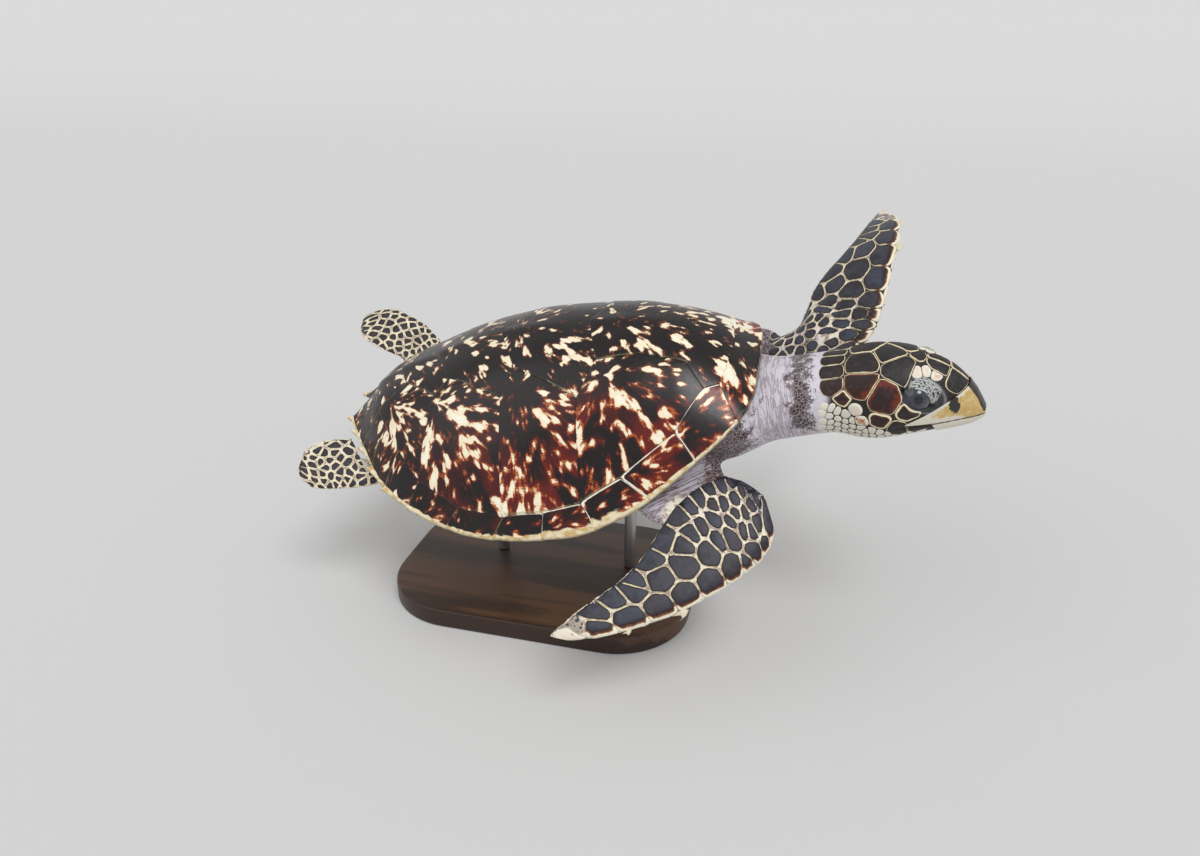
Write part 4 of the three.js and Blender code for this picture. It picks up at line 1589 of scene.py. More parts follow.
def clip(polygon: Array, direction: Array, reach: float) -> Array:
    """Keeps the part of a convex polygon within reach along a unit direction.

    Args:
        polygon: its points.
        direction: the unit direction.
        reach: how far along it the polygon may go.

    Returns:
        What is left of it.
    """
    over = polygon @ direction - reach
    kept = []
    for i in range(len(polygon)):
        j = (i + 1) % len(polygon)
        if over[i] <= 0:
            kept.append(polygon[i])
        if over[i] * over[j] < 0:
            kept.append(polygon[i] + (polygon[j] - polygon[i]) * over[i] / (over[i] - over[j]))
    return np.array(kept)


def rounded(polygon: Array, sides: int) -> Array:
    """A polygon with its corners cut round, and evenly spaced points.

    Args:
        polygon: its points.
        sides: how many points are wanted.

    Returns:
        The new points.
    """
    for _ in range(2):
        following = np.roll(polygon, -1, 0)
        cut = np.stack([0.87 * polygon + 0.13 * following, 0.13 * polygon + 0.87 * following], 1)
        polygon = cut.reshape(-1, 2)
    closed = np.vstack([polygon, polygon[:1]])
    walked = np.concatenate([[0], np.cumsum(np.linalg.norm(np.diff(closed, axis=0), axis=1))])
    stops = np.linspace(0, walked[-1], sides, endpoint=False)
    return np.column_stack([np.interp(stops, walked, closed[:, i]) for i in range(2)])


def cell_outline(neighbours: Array, limit: float, seam: float, sides: int,
                 squeeze: Array) -> Array:
    """The rounded outline of one scale among its neighbours.

    Args:
        neighbours: places of the other scales' middles, from this one's middle.
        limit: the furthest that the scale reaches.
        seam: width of the seam between two scales.
        sides: points round the outline.
        squeeze: how narrow cells are along the spine, halfway to each neighbour.

    Returns:
        The outline's points, anticlockwise, from this scale's middle.
    """
    turns = np.linspace(0, 2 * np.pi, 16, endpoint=False)
    polygon = limit * np.column_stack([np.cos(turns), np.sin(turns)])
    for neighbour, narrow in zip(neighbours, squeeze):
        across = unit(neighbour * (narrow ** 2, 1))
        polygon = clip(polygon, across, neighbour.dot(across) / 2 - seam / 2)
    return rounded(polygon, sides)


def along_skin(normal: Array, along: Array) -> Array:
    """Two directions along the skin at a place, in rows.

    Args:
        normal: the skin's normal there.
        along: roughly the first direction.

    Returns:
        The unit directions.
    """
    side = unit(np.cross(normal, along))
    return np.array([np.cross(side, normal), side])


@dataclass
class Spread:
    """Scales that share out a curved surface between their middles."""

    surface: Surface
    places: Array  # the scales' middles
    reaches: Array  # the furthest that each spreads
    gains: Array  # how much each outgrows its neighbours
    seam: float  # width of a seam

    def outline(self, i: int, plane: Array, sides: int,
                clearance: Optional[Callable] = None) -> Array:
        """How far a scale spreads along the skin in every direction.

        Args:
            i: the scale's number.
            plane: two directions along the skin, in rows.
            sides: points round the outline.
            clearance: gives the room in metres to what the scale must keep off.

        Returns:
            The outline in the plane from the scale's middle.
        """
        centre, reach = self.places[i], self.reaches[i]
        far = np.linalg.norm(self.places - centre, axis=1)
        near = np.flatnonzero((far > 0) & (far < 2 * reach + 8 * MM))
        gain = (self.gains[i] - self.gains[near]) / 2
        turns = np.linspace(0, 2 * np.pi, 40, endpoint=False)
        arms = np.column_stack([np.cos(turns), np.sin(turns)])
        low, high = np.zeros(len(arms)), np.full(len(arms), reach)
        for _ in range(7):
            middle = (low + high) / 2
            spots, _ = self.surface.drop(centre + arms * middle[:, None] @ plane)
            own = ((spots - centre) ** 2).sum(1)
            others = ((spots[:, None] - self.places[near][None]) ** 2).sum(2)
            room = (others - own[:, None]) / (2 * far[near]) + gain
            room = room.min(1, initial=1.0) - self.seam / 2
            if clearance:
                room = np.minimum(room, clearance(spots))
            low, high = np.where(room > 0, middle, low), np.where(room > 0, high, middle)
        return rounded(arms * np.maximum(low, 0.4 * MM)[:, None], sides)


class Coat:
    """Scales that are gathered into one mesh over the skin."""

    def __init__(self, name: str, surface: Surface) -> None:
        """Starts an empty coat.

        Args:
            name: the piece's name.
            surface: the skin that it lies on.
        """
        self.name = name
        self.surface = surface
        self.points: list = []
        self.faces: list = []
        self.inset: list = []
        self.looks: list = []
        self.fringes: list = []
        self.roots: list = []
        self.chance = np.random.default_rng(sum(map(ord, name)))

    def add(self, size: ScaleSize, outline: Array, lift: Callable, height: float,
            look: Look, root: tuple[float, float], fringe: Optional[Callable] = None) -> None:
        """Adds one scale.

        Args:
            size: its build.
            outline: its outline from its middle.
            lift: turns points of the outline's plane into points by the skin.
            height: how far it stands over the skin.
            look: what its finish reads.
            root: its place on the unwrapped skin.
            fringe: turns points of the outline's plane into shares of a pale fringe.
        """
        rings = size.value.rings
        middle = outline.mean(0)
        arms = outline - middle
        flat = [middle + arms * share for share, _ in rings] + [middle[None]]
        rises = [np.full(len(arms), rise) for _, rise in rings] + [np.array([rings[-1][1]])]
        insets = [np.linalg.norm(arms, axis=1) * (1 - share) for share, _ in rings]
        insets.append(np.array([np.linalg.norm(arms, axis=1).min()]))
        flat, rises, insets = np.vstack(flat), np.concatenate(rises), np.concatenate(insets)
        places, normals = self.surface.drop(lift(flat))
        start, sides = sum(map(len, self.points)), len(arms)
        self.points.append(places + normals * (rises * height)[:, None])
        ring = start + np.arange(sides)
        for level in range(len(rings) - 1):
            low, high = ring + level * sides, ring + (level + 1) * sides
            self.faces.extend(zip(low, np.roll(low, -1), np.roll(high, -1), high))
        last = ring + (len(rings) - 1) * sides
        self.faces.extend((a, b, start + len(flat) - 1) for a, b in zip(last, np.roll(last, -1)))
        self.inset.append((insets - look.margin) / MM)
        tone = look.tone + 0.2 * self.chance.random() - 0.1
        self.looks.append(np.tile((look.pale, look.warm, tone), (len(flat), 1)))
        self.fringes.append(fringe(flat) if fringe else np.full(len(flat), -1.0))
        span = np.abs(arms).max()
        self.roots.append(np.array(root) + (flat - middle) / span * 0.0015)

    def build(self, material: Material) -> Object:
        """Makes the mesh, with its attributes and its unwrapped place, and dresses it.

        Args:
            material: its finish.

        Returns:
            The piece.
        """
        coat = new_mesh(self.name, np.vstack(self.points), self.faces)
        store(coat, "inset", np.concatenate(self.inset))
        store(coat, "look", np.vstack(self.looks))
        store(coat, "fringe", np.concatenate(self.fringes))
        roots = np.vstack(self.roots)
        layer = coat.data.uv_layers.new(name="OFBake")
        corners = np.empty(len(coat.data.loops), np.int32)
        coat.data.loops.foreach_get("vertex_index", corners)
        layer.data.foreach_set("uv", roots[corners].astype(np.float32).ravel())
        return finish_piece(coat, material)


# ---- head plates


class HeadPlate(Enum):
    """The plates of the head's right side and of its middle line.

    Each has its station, its angle (90 on the crown, 180 on the right side), its
    look, its furthest reach and how much it outgrows its neighbours.
    """

    FRONTOPARIETAL = (0.3, 90, Look(0, 0.1), 18 * MM, 0.0)
    FRONTAL = (0.49, 90, Look(0, 0.1), 7 * MM, -3.5 * MM)
    PARIETAL = (0.08, 111, Look(0, 0.4), 18 * MM, 1.0 * MM)
    SUPRAOCULAR = (0.4, 113, Look(0, 0.12), 18 * MM, 1.5 * MM)
    PREFRONTAL_REAR = (0.642, 101, Look(0, 0.05), 15 * MM, 1.0 * MM)
    PREFRONTAL_FRONT = (0.785, 107, Look(0, 0.05), 13 * MM, 0.5 * MM)
    TEMPORAL = (0.095, 136, Look(0, 1.0), 18 * MM, 2.0 * MM)
    POSTOCULAR = (0.312, 151, Look(0, 0.95), 17 * MM, 2.0 * MM)
    SUBOCULAR = (0.48, 163.5, Look(0, 0.4, 1.6 * MM), 9 * MM, 0.0)
    TYMPANIC_LOW = (0.29, 176.5, Look(0, 0.6, 1.4 * MM), 9 * MM, -1.0 * MM)
    TYMPANIC_REAR = (0.0, 155, Look(0, 0.6, 1.2 * MM), 8 * MM, -1.5 * MM)
    REAR_CREAM = (0.105, 165.5, Look(0.95, 0.2), 5.2 * MM, -1.5 * MM)
    REAR_LOW = (0.14, 181, Look(0.55, 1.0, 0.9 * MM), 7 * MM, -1.0 * MM)
    LID_FIRST = (0.497, 117.5, Look(0.95, 0.3), 4.8 * MM, -2.5 * MM)
    LID_SECOND = (0.563, 114.5, Look(0.95, 0.3), 4.6 * MM, -2.5 * MM)
    LID_THIRD = (0.631, 116, Look(0.85, 0.6), 5.0 * MM, -2.5 * MM)
    NAPE_CROWN = (-0.118, 98, Look(0.15, 0.3, 0.3 * MM), 9 * MM, -0.5 * MM)
    NAPE_MIDDLE = (-0.105, 119, Look(0.15, 0.3, 0.3 * MM), 9 * MM, -0.5 * MM)
    NAPE_LOW = (-0.082, 138, Look(0.15, 0.5, 0.3 * MM), 9 * MM, -0.5 * MM)
    JAW_REAR = (0.43, 190, Look(0.0, 0.3, 0.3 * MM), 10 * MM, 1.5 * MM)
    JAW_FRONT = (0.56, 188.5, Look(0.0, 0.3, 0.2 * MM), 10 * MM, 2.0 * MM)


@dataclass
class HeadScales:
    """The plates of the head and the small scales of the cheeks and the throat."""

    # head stations, and the angles at which the small scales start there
    throat: tuple = ((-0.13, -0.01, 0.05, 0.1, 0.2, 0.34, 0.37, 0.62),
                     (158, 165, 173, 187, 190, 190, 203, 203))
    height: float = 0.7 * MM  # how far a plate stands over the skin
    seam: float = 0.4 * MM  # width of a seam
    grain: float = 5.8 * MM  # distance between the small scales

    def seeds(self) -> list[tuple]:
        """Every scale's station, angle, look, reach, bias and size.

        Returns:
            The scales.
        """
        found = []
        for plate in HeadPlate:
            station, angle, look, reach, bias = plate.value
            size = ScaleSize.LARGE if reach > 7.5 * MM else ScaleSize.MEDIUM
            found.append((station, angle, look, reach, bias, size))
            if angle != 90:
                found.append((station, 180 - angle, look, reach, bias, size))
        chance = np.random.default_rng(5)
        station = -0.13
        while station < 0.62:
            half = float(HEAD.half_width(station)) * HEAD.length
            step = math.degrees(self.grain / half)
            start = np.interp(station, self.throat[0], self.throat[1])
            for angle in np.arange(start + chance.uniform(0, step), 361 - (start - 180), step):
                place = station + chance.uniform(-0.012, 0.012)
                turn = angle + chance.uniform(-0.2, 0.2) * step
                look = Look(0.97, 0.1, 0.2 * MM)
                reach = (0.62 if station < -0.1 else 0.95) * self.grain
                found.append((place, turn, look, reach, -1.0 * MM, ScaleSize.SMALL))
            station += 0.87 * self.grain / HEAD.length
        return found

    def blocked(self, point: Array) -> bool:
        """Whether a place is taken by an eye's opening or by the bill.

        Args:
            point: a row point.

        Returns:
            True where no scale may sit.
        """
        station, _, up = HEAD.to_head(point[None])[0]
        if up > 0.02:
            return up < BILL.slope * (station - BILL.root) + 0.02
        return station > BILL.lower_root - 0.45 * up - 0.03 and up > -0.16

    def clearance(self, spots: Array) -> Array:
        """Room in metres to the eyes' openings, the bill and the mouth's line.

        Args:
            spots: row points.

        Returns:
            The room at each.
        """
        room = np.full(len(spots), 1.0)
        for eye in EYES:
            local = eye.to_eye(spots)
            clear = eye.opening(local[:, 1], local[:, 2]) - 1.6 * MM
            room = np.where(local[:, 0] > 0, np.minimum(room, clear), room)
        stations, _, ups = HEAD.to_head(spots).T
        bill = (ups - BILL.slope * (stations - BILL.root)) * HEAD.length - 0.3 * MM
        room = np.where(ups > 0, np.minimum(room, bill), room)
        low_bill = (BILL.lower_root - 0.45 * ups - stations) * HEAD.length - 0.3 * MM
        room = np.where(ups < 0, np.minimum(room, low_bill), room)
        mouth = np.abs(ups - mouth_line(stations)) * HEAD.length - 0.35 * MM
        return np.where(stations > 0.42, np.minimum(room, mouth), room)

    def build(self, surface: Surface, material: Material) -> Object:
        """Lays the scales and dresses them.

        Args:
            surface: the skin.
            material: their finish.

        Returns:
            The piece.
        """
        coat = Coat("head_scales", surface)
        seeds = self.seeds()
        rough = np.array([HEAD.section(s[0], s[1]) for s in seeds])
        places, normals = surface.drop(rough)
        free = [i for i, place in enumerate(places) if not self.blocked(place)]
        seeds, places, normals = [seeds[i] for i in free], places[free], normals[free]
        reaches, gains = np.array([s[3] for s in seeds]), np.array([s[4] for s in seeds])
        spread = Spread(surface, places, reaches, gains, self.seam)
        for i, (station, angle, look, _, _, size) in enumerate(seeds):
            plane = along_skin(normals[i], HEAD.axes[0])
            outline = spread.outline(i, plane, size.value.sides, self.clearance)
            root = (0.02 + 0.32 * (station + 0.15), 0.02 + 0.96 * ((angle + 90) % 360) / 360)
            height = self.height * (0.3 if size is ScaleSize.SMALL else 1)
            coat.add(size, outline, lambda flat: places[i] + flat @ plane, height, look, root)
        return coat.build(material)


# ---- flipper scales


@dataclass(frozen=True)
class Paddle:
    """The outline of a flipper's blade along its spine, in blade lengths."""

    lead: Callable
    trail: Callable
    thick: Callable


FORE_PADDLE = Paddle(
    lead=curve_through([
        (-0.16, 0.03), (-0.13, 0.14), (-0.07, 0.21), (0.02, 0.25), (0.25, 0.265), (0.45, 0.25),
        (0.64, 0.21), (0.81, 0.148), (0.93, 0.08), (1, 0.012),
    ]),
    trail=curve_through([
        (-0.16, -0.03), (-0.13, -0.12), (-0.05, -0.2), (0.1, -0.21), (0.25, -0.17),
        (0.36, -0.115), (0.47, -0.062), (0.62, -0.03), (0.83, -0.028), (1, -0.012),
    ]),
    thick=curve_through([(-0.16, 0.03), (0, 0.062), (0.25, 0.05), (0.6, 0.033), (1, 0.012)]),
)
HIND_PADDLE = Paddle(
    lead=curve_through([(-0.3, 0.2), (0, 0.34), (0.35, 0.4), (0.7, 0.38), (0.9, 0.26), (1, 0.08)]),
    trail=curve_through([
        (-0.3, -0.12), (0, -0.2), (0.35, -0.3), (0.7, -0.32), (0.9, -0.23), (1, -0.06),
    ]),
    thick=curve_through([(-0.3, 0.13), (0.1, 0.095), (0.6, 0.05), (1, 0.02)]),
)


@dataclass
class Flipper:
    """A flipper's blade, unrolled about its leading edge."""

    name: str
    paddle: Paddle  # the blade's outline
    spine: tuple  # three points in the body frame, from the root to the tip
    chord: tuple  # the direction to the leading edge, in the body frame
    above: int  # 1 where forward x chord points to the upper face, else -1
    patch: tuple  # corner of its field on the unwrapped skin
    border: float = 2.4 * MM  # how near the trailing edge a point may come

    def __post_init__(self) -> None:
        """Samples the spine by its length."""
        knots = np.array(self.spine, float)
        knots = np.vstack([2 * knots[0] - knots[1], knots, 2 * knots[-1] - knots[-2]])
        line = [knots[1]]
        for a, b, c, d in (knots[i:i + 4] for i in range(len(knots) - 3)):
            line.extend(self.bend(a, b, c, d, 40))
        self.line = np.array(line)
        steps = np.linalg.norm(np.diff(self.line, axis=0), axis=1)
        self.walked = np.concatenate([[0], np.cumsum(steps)])
        self.reach = float(self.walked[-1])
        self.length = self.reach * BODY.length
        self.turn = np.linspace(-math.pi, math.pi, 73)
        self.stations = np.linspace(-0.3, 0.98, 257)
        sections = [self.section(station) for station in self.stations]
        self.rings = np.array([points for points, _ in sections])
        self.ways = np.array([ways for _, ways in sections])

    @staticmethod
    def bend(a: Array, b: Array, c: Array, d: Array, count: int) -> list:
        """Points of a centripetal Catmull-Rom piece from b to c.

        Args:
            a: the point before.
            b: where the piece starts.
            c: where it ends.
            d: the point after.
            count: how many points are wanted.

        Returns:
            The points after b.
        """
        pairs = ((a, b), (b, c), (c, d))
        t = np.cumsum([0] + [math.sqrt(np.linalg.norm(q - p)) for p, q in pairs])
        points = []
        for u in np.linspace(t[1], t[2], count + 1)[1:]:
            first = [(t[k + 1] - u) / (t[k + 1] - t[k]) * p + (u - t[k]) / (t[k + 1] - t[k]) * q
                     for k, (p, q) in enumerate(pairs)]
            second = [(t[k + 2] - u) / (t[k + 2] - t[k]) * first[k]
                      + (u - t[k]) / (t[k + 2] - t[k]) * first[k + 1] for k in range(2)]
            points.append((t[2] - u) / (t[2] - t[1]) * second[0]
                          + (u - t[1]) / (t[2] - t[1]) * second[1])
        return points

    def section(self, station: float) -> tuple[Array, Array]:
        """The section at a station.

        Args:
            station: place along the spine, in blade lengths.

        Returns:
            Its points in the row frame and, for each, the way round from the leading
            edge in metres, above 0 on the upper face.
        """
        held = min(max(station, 0), 1) * self.reach
        centre = np.array([np.interp(held, self.walked, self.line[:, i]) for i in range(3)])
        step = 0.004 * self.reach
        ends = [np.array([np.interp(min(max(held + e, 0), self.reach), self.walked, self.line[:, i])
                          for i in range(3)]) for e in (-step, step)]
        forward = unit(ends[1] - ends[0])
        centre = centre + forward * (station * self.reach - held)
        chord = unit(np.array(self.chord) - forward * forward.dot(self.chord))
        normal = np.cross(forward, chord) * self.above
        lead, trail, thick = (f(station) * self.reach for f in
                              (self.paddle.lead, self.paddle.trail, self.paddle.thick))
        across = np.cos(self.turn)
        offset = (lead + trail) / 2 + across * (lead - trail) / 2
        depth = np.sin(self.turn) * thick * (0.68 + 0.32 * across)
        points = centre + offset[:, None] * chord + depth[:, None] * normal
        points = BODY.to_world(points)
        steps = np.linalg.norm(np.diff(points, axis=0), axis=1)
        walked = np.concatenate([[0], np.cumsum(steps)])
        return points, walked - walked[36]

    def place(self, flat: Array) -> Array:
        """Row points for chart points: metres along the spine and round the section.

        Args:
            flat: the chart points.

        Returns:
            The row points.
        """
        found = []
        last = len(self.stations) - 1
        shares = np.interp(flat[:, 0] / self.length, self.stations, np.arange(last + 1))
        for share, way in zip(shares, flat[:, 1]):
            first = min(int(share), last - 1)
            share -= first
            ways = (1 - share) * self.ways[first] + share * self.ways[first + 1]
            points = (1 - share) * self.rings[first] + share * self.rings[first + 1]
            way = min(max(way, ways[0] + self.border), ways[-1] - self.border)
            found.append([np.interp(way, ways, points[:, i]) for i in range(3)])
        return np.array(found)

    def chart(self, station: float, inset: float, face: int) -> tuple[float, float]:
        """The chart point at a station and a distance inside the leading edge.

        Args:
            station: place along the spine, in blade lengths.
            inset: distance from the leading edge, in blade lengths.
            face: 1 for the upper face, -1 for the lower.

        Returns:
            The chart point.
        """
        _, ways = self.section(station)
        lead, trail = self.paddle.lead(station), self.paddle.trail(station)
        across = max(-1.0, 1 - 2 * inset / (lead - trail))
        way = np.interp(face * math.acos(across), self.turn, ways)
        return station * self.length, float(way)


FLIPPERS = (
    Flipper("fore_flipper_right", FORE_PADDLE,
            ((0.454, -0.286, -0.125), (0.264, -0.434, -0.146), (0.106, -0.563, -0.178)),
            (0.55, -0.6, -0.6), 1, (0.42, 0.02)),
    Flipper("fore_flipper_left", FORE_PADDLE,
            ((0.63, 0.234, -0.053), (0.681, 0.423, 0.039), (0.755, 0.691, 0.017)),
            (0.88, -0.38, 0.27), -1, (0.42, 0.5)),
    Flipper("hind_flipper_right", HIND_PADDLE,
            ((-0.4, -0.15, -0.063), (-0.492, -0.178, -0.037), (-0.573, -0.225, -0.034)),
            (0.3, -0.8, -0.6), 1, (0.72, 0.02)),
    Flipper("hind_flipper_left", HIND_PADDLE,
            ((-0.43, 0.255, -0.04), (-0.51, 0.283, 0.008), (-0.604, 0.312, 0.047)),
            (0.3, 0.92, 0.2), -1, (0.72, 0.5)),
)


@dataclass(frozen=True)
class ScaleRow:
    """A row of scales along a flipper."""

    stations: tuple  # where the scales sit, in blade lengths
    # distance from the leading edge, in blade lengths, or from the trailing edge if it is below 0
    inset: float
    size: ScaleSize  # their build
    room: float = 0.075  # how much room they keep from the scales of no row, in blade lengths


@dataclass(frozen=True)
class FlipperLayout:
    """The rows of a flipper and the small scales between them."""

    upper: tuple  # rows of the upper face
    lower: tuple  # rows of the lower face
    # spacing of the scales between the rows at the root and at the tip, in blade lengths
    grain: tuple
    start: float  # station where the scales start
    height: float  # how far they stand over the skin
    seam: float  # width of a seam
    end: float  # station where the pale tip starts
    fringe: float  # width of the pale fringe of the leading edge
    root_narrow: float = 1.0  # how narrow the cells of the root are along the spine
    border: float = 2.5 * MM  # how far the scales stay inside the trailing edge

    def narrow(self, station: Array) -> Array:
        """How much narrower the cells are along the spine than across it."""
        return 1 + (self.root_narrow - 1) * smoothstep(0.32, 0.1, station)


FORE_LAYOUT = FlipperLayout(
    upper=(
        ScaleRow((-0.1, 0.02, 0.14, 0.265, 0.39, 0.52, 0.66, 0.81, 0.93), 0.055,
                 ScaleSize.LARGE, 0.13),
        ScaleRow((0.08, 0.2, 0.325, 0.45, 0.585), 0.185, ScaleSize.LARGE, 0.09),
        ScaleRow((-0.02, 0.1, 0.22, 0.34, 0.45, 0.56, 0.67, 0.78, 0.88), -0.055,
                 ScaleSize.LARGE, 0.09),
    ),
    lower=(
        ScaleRow((-0.1, 0.02, 0.14, 0.265, 0.39, 0.52, 0.66, 0.81, 0.93), 0.15,
                 ScaleSize.LARGE, 0.1),
        ScaleRow((0.22, 0.32, 0.42, 0.52, 0.62, 0.72, 0.82), -0.04, ScaleSize.MEDIUM),
    ),
    grain=(0.045, 0.085),
    start=-0.14,
    height=0.7 * MM,
    seam=0.45 * MM,
    end=0.9,
    fringe=9.5 * MM,
    root_narrow=1.45,
)
HIND_LAYOUT = FlipperLayout(
    upper=(ScaleRow((-0.12, 0.02, 0.15, 0.28, 0.41, 0.54, 0.66, 0.78, 0.88), 0.07,
                    ScaleSize.MEDIUM),),
    lower=(ScaleRow((-0.1, 0.08, 0.25, 0.42, 0.58, 0.74, 0.88), 0.09, ScaleSize.MEDIUM),),
    grain=(0.085, 0.1),
    start=-0.2,
    height=0.5 * MM,
    seam=0.6 * MM,
    end=1.1,
    fringe=1.5 * MM,
)


@dataclass
class FlipperScales:
    """The scales of one flipper."""

    flipper: Flipper
    layout: FlipperLayout  # their rows and sizes
    loose: float = 2.6 * MM  # how far the skin may lie from a scale's place

    def seeds(self) -> list[tuple]:
        """Every scale's chart point, size and spacing.

        Returns:
            The scales.
        """
        blade, layout = self.flipper, self.layout
        found = []
        for face, rows in ((1, layout.upper), (-1, layout.lower)):
            for row in rows:
                for station in row.stations:
                    lead, trail = blade.paddle.lead(station), blade.paddle.trail(station)
                    inset = row.inset if row.inset > 0 else lead - trail + row.inset
                    point = blade.chart(station, inset, face)
                    found.append((point, row.size, row.room))
        chance = np.random.default_rng(len(blade.name) + 3)
        for _ in range(5000):
            station = chance.uniform(layout.start, 0.97)
            _, ways = blade.section(station)
            way = chance.uniform(ways[0], ways[-1])
            share = smoothstep(-0.1, 0.45, station)
            spacing = layout.grain[0] + (layout.grain[1] - layout.grain[0]) * float(share)
            spacing *= 1.0 if way > 0 else 1.15
            point = (station * blade.length, way)
            reach = 0.5 * spacing * blade.length
            if ways[-1] - abs(way) < 0.6 * reach:
                continue
            narrow = float(layout.narrow(station))
            gaps = (math.hypot((point[0] - other[0]) * narrow, (point[1] - other[1]) / narrow)
                    / (0.5 * (spacing + room) * blade.length) for other, _, room in found)
            if min(gaps, default=2) > 0.92:
                size = ScaleSize.MEDIUM if spacing > 0.065 else ScaleSize.SMALL
                found.append((point, size, spacing))
        return found

    def fringe(self, way: Array) -> Array:
        """Share of the pale fringe by the way round from the leading edge."""
        width = self.layout.fringe
        return np.where(way > 0, 1 - way / width, 1 + way / (1.6 * width)).clip(-1, 1)

    def look(self, point: tuple[float, float], chance: float) -> Look:
        """The look of a scale by its place on the flipper.

        Args:
            point: its chart point.
            chance: a random number from 0 to 1.

        Returns:
            The look.
        """
        station = point[0] / self.flipper.length
        hind = self.flipper.paddle is HIND_PADDLE
        margin = (0.7 if hind else 0.45) * MM
        pale = 0.0
        if station > self.layout.end:
            pale = 0.5 + 0.4 * chance
        elif point[1] < 0 and not (hind and point[1] > -4 * MM):
            pale = 0.75 if chance > 0.35 or station < 0.2 else 0.1
        elif station > 0.8 and not hind and chance > 0.6:
            pale = 0.42
        return Look(pale, 0.3 * chance, margin, 0.25 * chance + 0.15 * hind)

    def build(self, surface: Surface, material: Material) -> Object:
        """Lays the scales and dresses them.

        Args:
            surface: the skin.
            material: their finish.

        Returns:
            The piece.
        """
        blade, layout = self.flipper, self.layout
        coat = Coat(blade.name + "_scales", surface)
        seeds = self.seeds()
        middles = np.array([s[0] for s in seeds])
        for i, (point, size, _) in enumerate(seeds):
            rel = np.delete(middles, i, 0) - middles[i]
            limit = (0.13 if size is ScaleSize.LARGE else 0.09) * blade.length
            rel = rel[np.linalg.norm(rel, axis=1) < 2.2 * limit]
            narrow = layout.narrow((point[0] + rel[:, 0] / 2) / blade.length)
            outline = cell_outline(rel, limit, layout.seam, size.value.sides, narrow)
            stations = (point[0] + outline[:, 0]) / blade.length
            low, high = (np.interp(stations, blade.stations, blade.ways[:, end]) for end in (0, -1))
            outline[:, 1] = np.clip(outline[:, 1], low + layout.border - point[1],
                                    high - layout.border - point[1])
            middle = blade.place(np.array([point]))
            if np.linalg.norm(surface.drop(middle)[0] - middle) > self.loose:
                continue
            look = self.look(point, float(coat.chance.random()))
            u, v = blade.patch
            root = (u + 0.24 * (point[0] / blade.length + 0.2) / 1.25,
                    v + 0.46 * (0.5 + point[1] / (0.95 * blade.length)))
            height = layout.height * (1.15 if size is ScaleSize.LARGE else 0.8)
            coat.add(size, outline, lambda flat: blade.place(flat + point), height, look, root,
                     lambda flat: self.fringe(flat[:, 1] + point[1]))
        return coat.build(material)


@dataclass
class ArmScales:
    """The plates of the raised left arm, between the neck and the blade."""

    stretch: tuple = (-0.42, 0.25)  # where they start and end, in lengths of the blade's spine
    spacing: float = 7.5 * MM  # distance between them
    height: float = 0.7 * MM  # how far they stand over the skin
    seam: float = 0.7 * MM  # width of a seam

    def build(self, hide: Object, surface: Surface, blade_scales: Object,
              material: Material) -> Object:
        """Scatters the plates over the arm's upper side and dresses them.

        Args:
            hide: the skin's mesh.
            surface: the skin.
            blade_scales: the scales of the blade beyond the arm.
            material: their finish.

        Returns:
            The piece.
        """
        blade = FLIPPERS[1]
        points, normals = points_of(hide), normals_of(hide)
        x, y, _ = BODY.to_body(points).T
        root, tip = BODY.to_world(np.array(blade.spine)[[0, -1]])
        share = (points - root) @ (tip - root) / (tip - root).dot(tip - root)
        up = normals @ np.array(BODY.direction(0, 0, 1))
        fits = (share > self.stretch[0]) & (share < self.stretch[1]) & (up > -0.3)
        fits &= (x > 0.5) & (y > 0.14)
        fits &= HEAD.to_head(points)[:, 0] < -0.12
        fits &= nearness(points, points_of(blade_scales)) > 0.6 * self.spacing
        chance = np.random.default_rng(8)
        chosen: list = []
        for i in chance.permutation(np.flatnonzero(fits)):
            gap = self.spacing * min(1.15 + 1.2 * share[i], 1.0)
            if all(np.linalg.norm(points[i] - points[j]) > gap for j in chosen):
                chosen.append(i)
        places = points[chosen]
        reaches = np.full(len(chosen), 0.72 * self.spacing)
        spread = Spread(surface, places, reaches, np.zeros(len(chosen)), self.seam)
        coat = Coat("arm_scales", surface)
        for i, vertex in enumerate(chosen):
            plane = along_skin(normals[vertex], unit(tip - root))
            outline = spread.outline(i, plane, ScaleSize.MEDIUM.value.sides)
            look = Look(0.0, 0.2 * float(chance.random()), 0.4 * MM, 0.25 * float(chance.random()))
            patch = (0.37 + 0.04 * float((share[vertex] + 0.42) / 0.3),
                     0.5 + 0.4 * float(y[vertex]))
            coat.add(ScaleSize.MEDIUM, outline, lambda flat: places[i] + flat @ plane,
                     self.height, look, patch)
        return coat.build(material)


# ---- finishes


